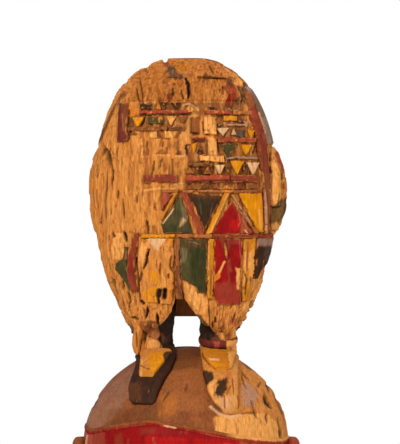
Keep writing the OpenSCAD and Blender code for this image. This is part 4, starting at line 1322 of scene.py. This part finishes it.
FOOT_STREAKS = {
    "shoe_left": [
        ("black", 3.0, -0.8, [(-54, 216), (-50, 204)]),
        ("dust", 1.6, 0.2, [(-55, 210), (-59, 196), (-58, 182)])],
    "shoe_right": [
        ("light", 2.6, 0.9, [(30, 205), (24, 203), (21, 196), (25, 188), (31, 184)]),
        ("deep", 1.6, -0.8, [(28, 192), (33, 189), (40, 192), (44, 199)]),
        # Painted shadow along the left edge of the right foot.
        ("black", 3.0, -1.0, [(21, 192), (27, 183), (34, 177)]),
        ("deep", 1.8, -0.8, [(51, 190), (52, 178)]), ("deep", 1.8, -0.8, [(38, 190), (38, 178)]),
        ("deep", 1.6, -0.8, [(46, 206), (47, 192)])],
    "cuff_left": [
        ("light", 1.8, 0.4, [(-43, 224), (-44, 206)]), ("deep", 1.4, -0.8, [(-36, 216), (-44, 219)])],
    "cuff_right": [
        ("cream", 1.8, 0.5, [(23, 225.5), (32, 224.6)]), ("ochre", 1.6, -0.3, [(24, 218), (40, 216)])],
}


def build_feet(settings):
    """Shoes and trouser cuffs lying on the crown of the head."""
    for seed, (node, (rows, low, high)) in enumerate(SHOES.items(), 31):
        y = np.linspace(rows[0][0], rows[-1][0], 92)[:, None]
        mid, half = between(rows, y)
        u = np.linspace(-1, 1, 64)[None, :]
        x = mid + half * u
        level = -np.sqrt(np.maximum(y * y + mid * mid - x * x, 0))
        square = ease(y, -50, -15)
        toe = ease(np.linspace(0, 1, 92)[:, None], 0, 0.1)
        y = level * (1 - square) + y * square
        arch = np.sqrt(np.maximum(1 - (0.985 * u) ** 2, 0)) ** 0.5
        rise = low + 0.3 + (high - low - 0.3) * arch * (0.25 + 0.75 * toe)
        points = crown_point(x, y, rise)
        colour, slot = SHOE_COLOURS[node]
        skin = Skin(points, colour, seed)
        if colour == "wood":
            skin.grain(0.8, (2.6, 2.6, 20))
        skin.mottle(0.25).chips(0.1 * settings.wear, (3, 3, 5), 0.3)
        skin.stains(FOOT_MARKS[node]).streaks(FOOT_STREAKS[node])
        relief = skin.lift + 0.5 * layered(points, (5, 5, 7), 2, seed + 9)
        outer = crown_point(x, y, np.maximum(rise + relief * arch, low + 0.15))
        inner = crown_point(x, y, low - 1.2)
        Solid().slab(outer, inner, skin.paint, 0.5).piece(node, slot)


# ---------- the helmet head ----------

HAIR_MARKS = [
    ("wood", 0.95, 0.0,
     [(51, 224), (60, 214), (78, 206), (104, 180), (106, 146), (60, 142), (31, 150),
      (27, 168), (36, 176), (50, 180)]),
    ("light", 0.85, -0.5,
     [(30, 170), (54, 172), (76, 172), (91, 162), (94, 147), (60, 144), (36, 150), (29, 158)]),
    ("dust", 0.7, 0.3, [(54, 200), (62, 202), (70, 190), (66, 178), (56, 178)]),
    ("rust", 0.5, 0.0, [(-24, 222), (16, 226), (24, 206), (18, 176), (-20, 176), (-26, 196)]),
    ("dust", 0.35, 0.0,
     [(-104, 160), (-94, 176), (-80, 196), (-60, 214), (-40, 222), (-48, 200), (-70, 170), (-88, 152)]),
    ("umber", 0.45, 0.0, [(-76, 176), (-28, 182), (-26, 164), (-80, 160)]),
    ("umber", 0.6, 0.0, [(-14, 234), (14, 235), (12, 216), (-16, 214)]),
    ("orange", 0.3, 0.0, [(-26, 190), (-10, 192), (-10, 172), (-26, 172)]),
]
HAIR_CRACKS = [
    (4.2, 4, [(77, 189), (79.5, 182), (84, 176.5)]), (3.2, 3, [(80, 198), (82, 191)]),
    (2.6, 3, [(79, 171), (80, 162)]), (2.2, 2.5, [(67, 175), (70, 168)]),
    (3.0, 3, [(92, 155), (93, 147)]), (2.0, 2, [(90, 166), (92, 156)]),
    (2.4, 2.5, [(54, 212), (63, 203)]), (1.8, 2, [(55, 208), (59, 196)]),
    (2.6, 2.5, [(85, 190), (94, 172), (98, 160)]), (2.0, 2, [(66, 178), (64, 184)]),
    (2.0, 1.2, [(-16, 196), (-22, 186)]), (1.6, 1.2, [(2, 204), (0, 196)]),
    (2.0, 1.2, [(-88, 187), (-94, 172)]), (2.0, 2, [(73, 200), (71, 196)]),
]
HAIR_STREAKS = [
    ("cream", 2.4, 0.6, [(24, 180), (32, 173), (42, 170), (54, 171)]),
    ("deep", 1.8, -0.4, [(54, 172.6), (66, 173)]),
    ("deep", 2.2, -1.0, [(28, 158), (30, 152), (36, 149)]),
    ("light", 2.0, 0.0, [(-26, 212), (-34, 196)]),
]


# Height of the hairline along x, seen from the front.
HAIRLINE = [
    (-103, 149), (-91, 154.5), (-66, 160.5), (-46, 164), (-36, 165), (-21, 163),
    (-11, 161.5), (10, 158), (32, 153.5), (54, 149), (76, 145.5), (103, 142),
]


def round_top(t):
    """Height of a half circle over places from -1 to 1."""
    return np.sqrt(np.maximum(1 - t * t, 0))


def hairline(bearing):
    """Height of the hairline at a bearing on the head: carved line at the front, tilted plane behind."""
    b = np.radians(bearing)
    x, y = HEAD_R * np.sin(b), -HEAD_R * np.cos(b)
    table = np.array(HAIRLINE)
    front = sum(np.interp(x + k, table[:, 0], table[:, 1]) for k in (-8, -4, 0, 4, 8)) / 5
    weight = ease(-y, 0, 45)
    return weight * front + (1 - weight) * (150 - 0.061 * x - 0.088 * y)


def bearings(front_count, back_count):
    """Bearings round the head, denser at the front."""
    front = np.linspace(-100, 100, front_count, endpoint=False)
    return np.concatenate([front, np.linspace(100, 260, back_count, endpoint=False)])


def head_skin(points, colour, seed):
    """Paint of the head, whose marks lie on the front only."""
    rear = points[..., Y] > 10 + 26 * layered(points, (16, 16, 16), 3, 46)
    x = np.where(rear, BACK + points[..., X], points[..., X])
    return Skin(points, colour, seed, x)


def build_hair_cap(settings):
    """The brown crown of the head, bare and flat-cut at the right."""
    bearing = bearings(220, 90)[None, :]
    t = np.linspace(0, 1, 106)[:, None]
    low = hairline(bearing)
    start = np.degrees(np.arccos(np.clip((low - HEAD_Z) / HEAD_R, -1, 1)))
    polar = np.radians(start + (0.8 - start) * t)
    b = np.radians(bearing)
    direction = join(np.sin(polar) * np.sin(b), -np.sin(polar) * np.cos(b), np.cos(polar))
    centre = np.array([0, 0, HEAD_Z])
    points = centre + HEAD_R * direction
    skin = head_skin(points, "brown", 41)
    skin.mottle(0.34, (9, 9, 12)).chips(0.12, (5, 5, 6), 0.25, "rust")
    skin.stains(HAIR_MARKS).streaks(HAIR_STREAKS)
    bare = ease(skin.paint[..., 0], 0.42, 0.55)
    gouges = layered(points, (2.6, 2.6, 16), 3, 44)
    unpainted = bare > 0.2
    skin.coat(unpainted * ease(gouges, 0.1, 0.6) * 0.45, "light")
    skin.coat(unpainted * ease(-gouges, 0.25, 0.7) * 0.6, "deep")
    skin.cracks(HAIR_CRACKS)
    tooling = 0.5 * layered(points, (11, 11, 8), 2, 45)
    side = np.interp(points[..., X], [-103, -60, 0, 70, 95, 103], [0.2, -1.6, -0.3, 1.0, 1.6, -0.6])
    lift = (skin.lift + 0.6 * bare * gouges + tooling + side) * ease(t, 0, 0.04)
    inner = centre + (HEAD_R - WALL) * direction
    solid = Solid().shell(points + lift[..., None] * direction, inner, skin.paint, True)
    solid.piece("hair_cap", "dome_brown")


FACE_MARKS = [
    ("pink", 0.75, 0.0, [(-104, 150), (-92, 154), (-90, 130), (-104, 128)]),
    ("pink", 0.45, 0.0, [(-104, 128), (-92, 130), (-96, 90), (-104, 90)]),
    ("brick", 0.7, 0.0, [(-92, 158), (-80, 160), (-78, 120), (-92, 124)]),
    ("dull", 0.7, 0.0, [(-70, 152), (-62, 154), (-60, 126), (-68, 124)]),
    ("dull", 0.6, 0.0, [(-44, 158), (-30, 160), (-30, 154), (-44, 153)]),
    ("bright", 0.8, 0.0, [(-40, 152), (2, 150), (4, 128), (-38, 128)]),
    ("bright", 0.7, 0.0, [(8, 150), (60, 146), (58, 128), (10, 128)]),
    ("rust", 0.5, 0.0, [(52, 147), (84, 144), (84, 140), (54, 142)]),
]
FACE_STREAKS = [
    ("pink", 1.8, 0.2, [(-32, 150), (-30, 144)]), ("pink", 2.2, 0.3, [(38, 143.6), (54, 141.6)]),
    ("dull", 2.0, -0.2, [(-56, 148), (-58, 126)]), ("dull", 1.8, -0.2, [(-82, 146), (-84, 120)]),
    ("pale", 1.8, 0.2, [(-98, 148), (-100, 134)]), ("maroon", 1.6, -0.2, [(66, 140), (68, 112)]),
]


def build_face_shell(settings):
    """The red face below the hairline."""
    bearing = bearings(210, 80)[None, :]
    t = np.linspace(0, 1, 100)[:, None]
    low = RIM_H + 0.1
    z = low + (hairline(bearing) - low) * t
    points = head_point(bearing, z, 0.0)
    skin = head_skin(points, "red", 51)
    skin.mottle(0.3, (7, 7, 16)).stains(FACE_MARKS).streaks(FACE_STREAKS)
    skin.chips(0.14 * settings.wear, (5, 5, 12), 0.3, "dull")
    cheek = 3.2 * np.exp(-((np.abs(bearing) - 42) / 18) ** 2 - ((z - 74) / 20) ** 2)
    socket = -3.4 * np.exp(-((np.abs(bearing) - 24) / 15) ** 2 - ((z - 102) / 11) ** 2)
    chin = 4.5 * np.exp(-(bearing / 17) ** 2 - ((z - 30) / 9) ** 2)
    tooling = 0.35 * layered(points, (10, 10, 12), 2, 52)
    lift = (skin.lift + tooling + cheek + socket + chin) * ease(t, 0, 0.03)
    outer = head_point(bearing, z, lift)
    inner = head_point(bearing, z, -WALL)
    Solid().shell(outer, inner, skin.paint).piece("face_shell", "red_paint")


def build_hairline(settings):
    """The raised line where hair and face meet."""
    bearing = bearings(300, 110)[None, :]
    v = np.linspace(-1, 1, 16)[:, None]
    z = hairline(bearing) + 2.8 * v
    lift = 0.35 + 0.75 * round_top(v)
    points = head_point(bearing, z, lift)
    skin = head_skin(points, "brown", 53)
    bare = ease(points[..., X], 36, 52) * ease(-points[..., Y], 0, 12)
    low = 1 - ease(v + 0.25 * skin.rag, -0.3, 0.2)
    skin.coat(bare * 0.9, "light")
    skin.coat(low * 0.9, "red")
    skin.coat(low * ease(skin.rag, 0.1, 0.8) * 0.8, "brick")
    skin.mottle(0.3, (9, 9, 3)).streaks([
        ("pale", 1.6, 0.3, [(-21, 162), (-10, 160)]), ("pink", 1.6, 0.3, [(20, 153.6), (50, 146.4)]),
        ("cream", 1.4, 0.3, [(38, 148), (54, 144.4)]),
        ("dull", 2.0, 0.0, [(-90, 156), (-60, 160), (-40, 163)])])
    outer = head_point(bearing, z, lift + 0.5 * skin.lift)
    inner = head_point(bearing, z, -1.5)
    Solid().shell(outer, inner, skin.paint).piece("hairline_ridge", "pale_paint")


def feature(solid, shape, colour, seed, cols=40, rows=40, marks=(), chips=0.1):
    """A carved feature on the head: shape(u, v) gives bearing, z and lift for u and v from -1 to 1."""
    u = np.linspace(-1, 1, cols)[None, :] + np.zeros((rows, 1))
    v = np.linspace(-1, 1, rows)[:, None] + np.zeros((1, cols))
    bearing, z, lift = shape(u, v)
    lift = np.maximum(lift, 0.2)
    points = head_point(bearing, z, lift)
    skin = head_skin(points, colour, seed)
    skin.mottle(0.3).chips(chips, (4, 4, 5), 0.15, "brown").stains(marks)
    lift = np.maximum(lift + 0.25 * layered(points, (5, 5, 6), 2, seed) + skin.lift, 0.1)
    return solid.slab(head_point(bearing, z, lift), head_point(bearing, z, -1.2), skin.paint, 0.6)


# Places of the ears, eyes, nose and lips on the head: bearings in degrees and heights in millimetres.
EAR_BEARING, EAR_Z = 88, 117
EYE_BEARING, BROW_Z, EYE_Z = 24, 114, 100
NOSE_Z = 86
UPPER_LIP_Z, LOWER_LIP_Z = 51, 41


def build_ears(settings):
    """Simple ears with a hollow and a rolled rim."""
    for node, side, colour, seed in (("ear_left", -1, "brown", 61), ("ear_right", 1, "brick", 62)):
        def shape(u, v):
            swell = round_top(0.96 * u) ** 0.7 * round_top(0.97 * v) ** 0.4
            hollow = 1 - 0.42 * np.exp(-((u + 0.1 * side) / 0.42) ** 2 - ((v - 0.12) / 0.5) ** 2)
            bearing = side * EAR_BEARING + 12 * u * (0.8 + 0.2 * v) * round_top(0.8 * v)
            return bearing, EAR_Z + 28 * v, 13.5 * swell * hollow
        slot = "brown_paint" if side < 0 else "dull_red_paint"
        feature(Solid(), shape, colour, seed, 56, 72).piece(node, slot)


def build_face_features(settings):
    """Brows, eyes, nose and lips in plain, calm proportions."""
    brows, eyes, lips = Solid(), Solid(), Solid()
    for side in (-1, 1):
        middle = side * EYE_BEARING
        feature(brows, lambda u, v: (
            middle + 17 * u,
            BROW_Z + 6 * round_top(0.8 * (u + 0.2 * side)) + 3.2 * v * (1 - 0.5 * np.abs(u) ** 3),
            5 * round_top(0.95 * v) * (1 - 0.6 * u * u)), "dark", 63, 60, 18)
        slit = [(60, 101.6), (42, 103.4), (24, 101.6), (24, 98.8), (42, 97.4), (60, 98.8)]
        feature(eyes, lambda u, v: (
            middle + 14 * u,
            EYE_Z + 10.5 * v * round_top(0.97 * u) ** 1.1,
            (8 * round_top(0.97 * v) - 1.6 * np.exp(-(v / 0.16) ** 2)) * round_top(0.9 * u)),
            "pale", 64, 60, 60, [("dark", 0.92, 0.0, [(side * x, z) for x, z in slit])])
    eyes.piece("eyes", "pale_paint")
    brows.piece("brows", "black_paint")

    def nose_shape(u, v):
        low = (1 - v) / 2
        width = 4.5 + 7.5 * low ** 2
        wings = 1 + 0.16 * np.exp(-((np.abs(u) - 0.72) / 0.18) ** 2 - ((v + 0.72) / 0.2) ** 2)
        tuck = np.where(v < -0.8, 0.86, 1.0)
        lift = (4 + 17 * low ** 1.3 * tuck) * round_top(0.97 * u) ** 0.8 * wings
        return width * u, NOSE_Z + 24 * v, lift

    feature(Solid(), nose_shape, "red", 65, 56, 80).piece("nose", "red_paint")
    for z, half, width, out, lean in ((UPPER_LIP_Z, 4, 17, 8, 1.6), (LOWER_LIP_Z, 4.4, 15, 9, -1.6)):
        feature(lips, lambda u, v: (
            width * u,
            z + half * v * (1 - 0.55 * u * u) + lean * (1 - u * u),
            out * round_top(0.96 * v) * round_top(0.95 * u)), "dull", 66 + z, 60, 24)
    lips.piece("lips", "dull_red_paint")


def build_forehead_marks(settings):
    """Three pale upright marks on the forehead."""
    marks = Solid()
    for k, x in enumerate((-30, -6, 19)):
        feature(marks, lambda u, v: (
            np.degrees(np.arcsin(x / HEAD_R)) + 1.8 * u * round_top(0.8 * v),
            133 + 11 * v,
            2.4 * round_top(0.9 * u)), "cream", 71 + k, 16, 44,
            [("brown", 0.7, -0.3, [(x - 1, 141), (x + 1.4, 141), (x + 1, 126), (x - 1, 126)])])
    marks.piece("forehead_marks", "pale_paint")


def build_rim(settings):
    """The plain collar with its four tie holes, rubbed along the lower edge."""
    theta = np.linspace(0, 360, 288, endpoint=False)[None, :]
    upper = np.array([0, 1.2, 2.2, 3, 5, 7, 9, 10.2, 11])
    z = RIM_H / 2 + np.concatenate([-upper[:0:-1], upper])[:, None]
    b = np.radians(theta)
    bite = 0.9 * (1 - ease(np.minimum(z, RIM_H - z), 0, 1.2))
    points = join(RIM_R * np.cos(b), RIM_R * np.sin(b), z)
    skin = Skin(points, "dull", 81, points[..., X] + BACK)
    skin.mottle(0.3, (8, 8, 5)).chips(0.3, (6, 6, 4), 0.2, "brown")
    skin.coat(0.7 * (1 - ease(z, 0.5, 3)), "rust")
    # The holes stand at 45, 135, 225 and 315 degrees, and a degree is 1.6 mm along the rim.
    across = ((theta % 90) - 45) * 1.6
    hole = 1 - ease(np.hypot(across, z - RIM_H / 2), 1.6, 3.0)
    # Painted shade: the dents that stand for the holes are coloured black.
    skin.coat(hole, "black")
    r_out = RIM_R - bite - 0.25 - 5.0 * hole + 0.2 * layered(points, (9, 9, 6), 2, 82)
    r_in = RIM_R - WALL + 0.2 + 4.6 * hole
    outer = join(r_out * np.cos(b), r_out * np.sin(b), z)
    inner = join(r_in * np.cos(b), r_in * np.sin(b), z)
    Solid().shell(outer, inner, skin.paint).piece("rim_collar", "dull_red_paint")


# ---------- stage ----------

def stage_material(name, colour, rough):
    """Plain matt material with a faint unevenness."""
    mat = bpy.data.materials.new(name)
    mat.use_nodes = True
    tree = mat.node_tree
    shader = tree.nodes["Principled BSDF"]
    shader.inputs["Roughness"].default_value = rough
    cloud = tree.nodes.new("ShaderNodeTexNoise")
    cloud.inputs["Scale"].default_value = 3.0
    ramp = tree.nodes.new("ShaderNodeValToRGB")
    for stop, gain in zip(ramp.color_ramp.elements, (0.97, 1.0)):
        stop.color = tuple(c * gain for c in colour) + (1,)
    tree.links.new(cloud.outputs["Fac"], ramp.inputs["Fac"])
    tree.links.new(ramp.outputs["Color"], shader.inputs["Base Color"])
    return mat


def add_light(name, place, size, watts, target):
    """A soft round light that faces a target."""
    data = bpy.data.lights.new(name, "AREA")
    data.shape = "DISK"
    data.size = size
    data.energy = watts
    obj = bpy.data.objects.new(name, data)
    obj.location = place
    obj.rotation_mode = "QUATERNION"
    obj.rotation_quaternion = (Vector(target) - Vector(place)).to_track_quat("-Z", "Y")
    bpy.context.scene.collection.objects.link(obj)


def background(tree, colour, strength):
    """Even light of one colour from all sides."""
    made = tree.nodes.new("ShaderNodeBackground")
    made.inputs["Color"].default_value = colour + (1,)
    made.inputs["Strength"].default_value = strength
    return made.outputs["Background"]


# Points round the floor, middle of the object, width of the camera's sensor, camera's place to the side.
FLOOR_POINTS = 96
MIDDLE = (0, 0, 0.33)
SENSOR = 36
CAMERA_X = 0.014


def build_stage(settings):
    """Pale floor, white surroundings, soft studio lights and the camera."""
    scene = bpy.context.scene
    turn = np.linspace(0, 2 * np.pi, FLOOR_POINTS, endpoint=False)
    ring = settings.floor_radius * join(np.cos(turn), np.sin(turn), 0.0)
    mesh = bpy.data.meshes.new("floor")
    mesh.from_pydata(ring.tolist(), [], [list(range(FLOOR_POINTS))])
    mesh.materials.append(stage_material("pale_floor", (0.86, 0.85, 0.83), 0.9))
    floor = bpy.data.objects.new("floor", mesh)
    scene.collection.objects.link(floor)

    world = bpy.data.worlds.new("white_room")
    world.use_nodes = True
    tree = world.node_tree
    tree.nodes.clear()
    path = tree.nodes.new("ShaderNodeLightPath")
    seen = background(tree, (1, 1, 1), 1.0)
    room = background(tree, (1.0, 0.985, 0.96), settings.room_light)
    chosen = tree.nodes.new("ShaderNodeMixShader")
    out = tree.nodes.new("ShaderNodeOutputWorld")
    tree.links.new(path.outputs["Is Camera Ray"], chosen.inputs["Fac"])
    tree.links.new(room, chosen.inputs[1])
    tree.links.new(seen, chosen.inputs[2])
    tree.links.new(chosen.outputs["Shader"], out.inputs["Surface"])
    scene.world = world

    add_light("key_light", (-0.9, -2.0, 1.5), 0.8, settings.key_light, MIDDLE)
    add_light("fill_light", (1.4, -1.8, 0.7), 1.2, settings.key_light * 0.35, MIDDLE)
    add_light("top_light", (0.2, 0.6, 1.9), 0.9, settings.key_light * 0.4, MIDDLE)

    scene.view_settings.view_transform = "Standard"
    data = bpy.data.cameras.new("camera")
    data.sensor_width = SENSOR
    distance = settings.camera_distance
    data.lens = SENSOR * distance / settings.view_height
    data.clip_end = 50
    camera = bpy.data.objects.new("camera", data)
    camera.location = (CAMERA_X, -distance, settings.view_middle)
    camera.rotation_euler = (np.pi / 2, 0, 0)
    scene.collection.objects.link(camera)
    scene.camera = camera


# ---------- settings, operators and panel ----------

# The colours that the settings hold.
CHOSEN_COLOURS = ("wood", "red", "yellow", "green", "dark")


def colour_property(label, what, colour):
    """A colour that the user can change."""
    return FloatVectorProperty(name=label, description="Colour of the " + what, subtype="COLOR", size=3,
                               default=COLOURS[colour], min=0.0, max=1.0)


class CarvingSettings(bpy.types.PropertyGroup):
    """Relief, wear and main colours of the carving."""

    relief: FloatProperty(name="Relief", description="Depth of the grain, flakes and cracks",
                          default=1.0, min=0.0, max=1.5)
    wear: FloatProperty(name="Wear", description="Share of paint that has flaked off",
                        default=1.0, min=0.0, max=3.0)
    wood: colour_property("Wood", "bare wood", "wood")
    red: colour_property("Red", "red paint", "red")
    yellow: colour_property("Yellow", "yellow paint", "yellow")
    green: colour_property("Green", "green paint", "green")
    dark: colour_property("Black", "worn black paint", "dark")


class StageSettings(bpy.types.PropertyGroup):
    """Floor, light and camera."""

    floor_radius: FloatProperty(name="Floor radius", description="Radius of the pale floor",
                                default=1.1, unit="LENGTH")
    room_light: FloatProperty(name="Room light", description="Strength of the even light from all sides",
                              default=0.42)
    key_light: FloatProperty(name="Key light", description="Power of the main soft light in watts",
                             default=38.0)
    camera_distance: FloatProperty(name="Camera distance", description="From the camera to the axis",
                                   default=3.5, unit="LENGTH")
    view_height: FloatProperty(name="View height", description="Height of the view at the axis",
                               default=0.444, unit="LENGTH")
    view_middle: FloatProperty(name="View middle", description="Height of the view's centre",
                               default=0.360, unit="LENGTH")


def operator(name, label, text, build, group="carving"):
    """An operator class that builds one piece or group of like pieces."""

    def execute(self, context):
        for colour in CHOSEN_COLOURS:
            COLOURS[colour] = tuple(getattr(context.scene.carving, colour))
        build(getattr(context.scene, group))
        return {"FINISHED"}

    return type("CARVING_OT_" + name, (bpy.types.Operator,), {
        "bl_idname": "carving." + name, "bl_label": label, "__doc__": text, "execute": execute})


OPERATORS = [
    operator("rim", "Rim collar", "Build the plain rim collar with its tie holes", build_rim),
    operator("face", "Face shell", "Build the red face below the hairline", build_face_shell),
    operator("hair", "Hair cap", "Build the brown crown of the head", build_hair_cap),
    operator("hairline", "Hairline", "Build the raised hairline", build_hairline),
    operator("ears", "Ears", "Build both ears", build_ears),
    operator("features", "Face features", "Build brows, eyes, nose and lips", build_face_features),
    operator("marks", "Forehead marks", "Build the three forehead marks", build_forehead_marks),
    operator("feet", "Shoes and cuffs", "Build both shoes and both cuffs", build_feet),
    operator("legs", "Legs", "Build both legs", build_legs),
    operator("anklet", "Anklet", "Build the band on the right ankle", build_anklet),
    operator("core", "Costume core", "Build the eroded trunk of the costume", build_core),
    operator("crown", "Hood crown", "Build the top of the hood", build_hood_crown),
    operator("hood", "Hood panel", "Build the bare panel of the hood", build_hood_panel),
    operator("lobes", "Skirt lobes", "Build the two lobes of the skirt", build_lobes),
    operator("apron", "Back apron", "Build the back apron", build_apron),
    operator("sleeves", "Sleeves", "Build both sleeves", build_sleeves),
    operator("side", "Side panel", "Build the grey panel at the side", build_side_panel),
    operator("back", "Back panel", "Build the worn panel of the back", build_back_panel),
    operator("teeth", "Tooth rows", "Build the six rows of teeth", build_teeth),
    operator("laths", "Laths", "Build the level laths", build_laths),
    operator("fields", "Painted fields", "Build triangles, slanting laths and fields", build_fields),
    operator("stage", "Stage", "Build floor, lights and camera", build_stage, "carving_stage"),
]


class CARVING_PT_panel(bpy.types.Panel):
    """Lists the settings and the steps."""

    bl_label = "Carving"
    bl_space_type = "VIEW_3D"
    bl_region_type = "UI"
    bl_category = "Carving"

    def draw(self, context):
        for group in (context.scene.carving, context.scene.carving_stage):
            for name in group.__annotations__:
                self.layout.prop(group, name)
        for cls in OPERATORS:
            self.layout.operator(cls.bl_idname)


CLASSES = [CarvingSettings, StageSettings] + OPERATORS + [CARVING_PT_panel]


def register():
    for cls in CLASSES:
        bpy.utils.register_class(cls)
    bpy.types.Scene.carving = PointerProperty(type=CarvingSettings)
    bpy.types.Scene.carving_stage = PointerProperty(type=StageSettings)


def unregister():
    del bpy.types.Scene.carving
    del bpy.types.Scene.carving_stage
    for cls in reversed(CLASSES):
        bpy.utils.unregister_class(cls)


def main():
    """Builds everything in order and writes the sizes before and after."""
    register()
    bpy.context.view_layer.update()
    for cls in OPERATORS:
        getattr(bpy.ops.carving, cls.bl_idname.split(".")[1])()


if __name__ == "__main__":
    main()
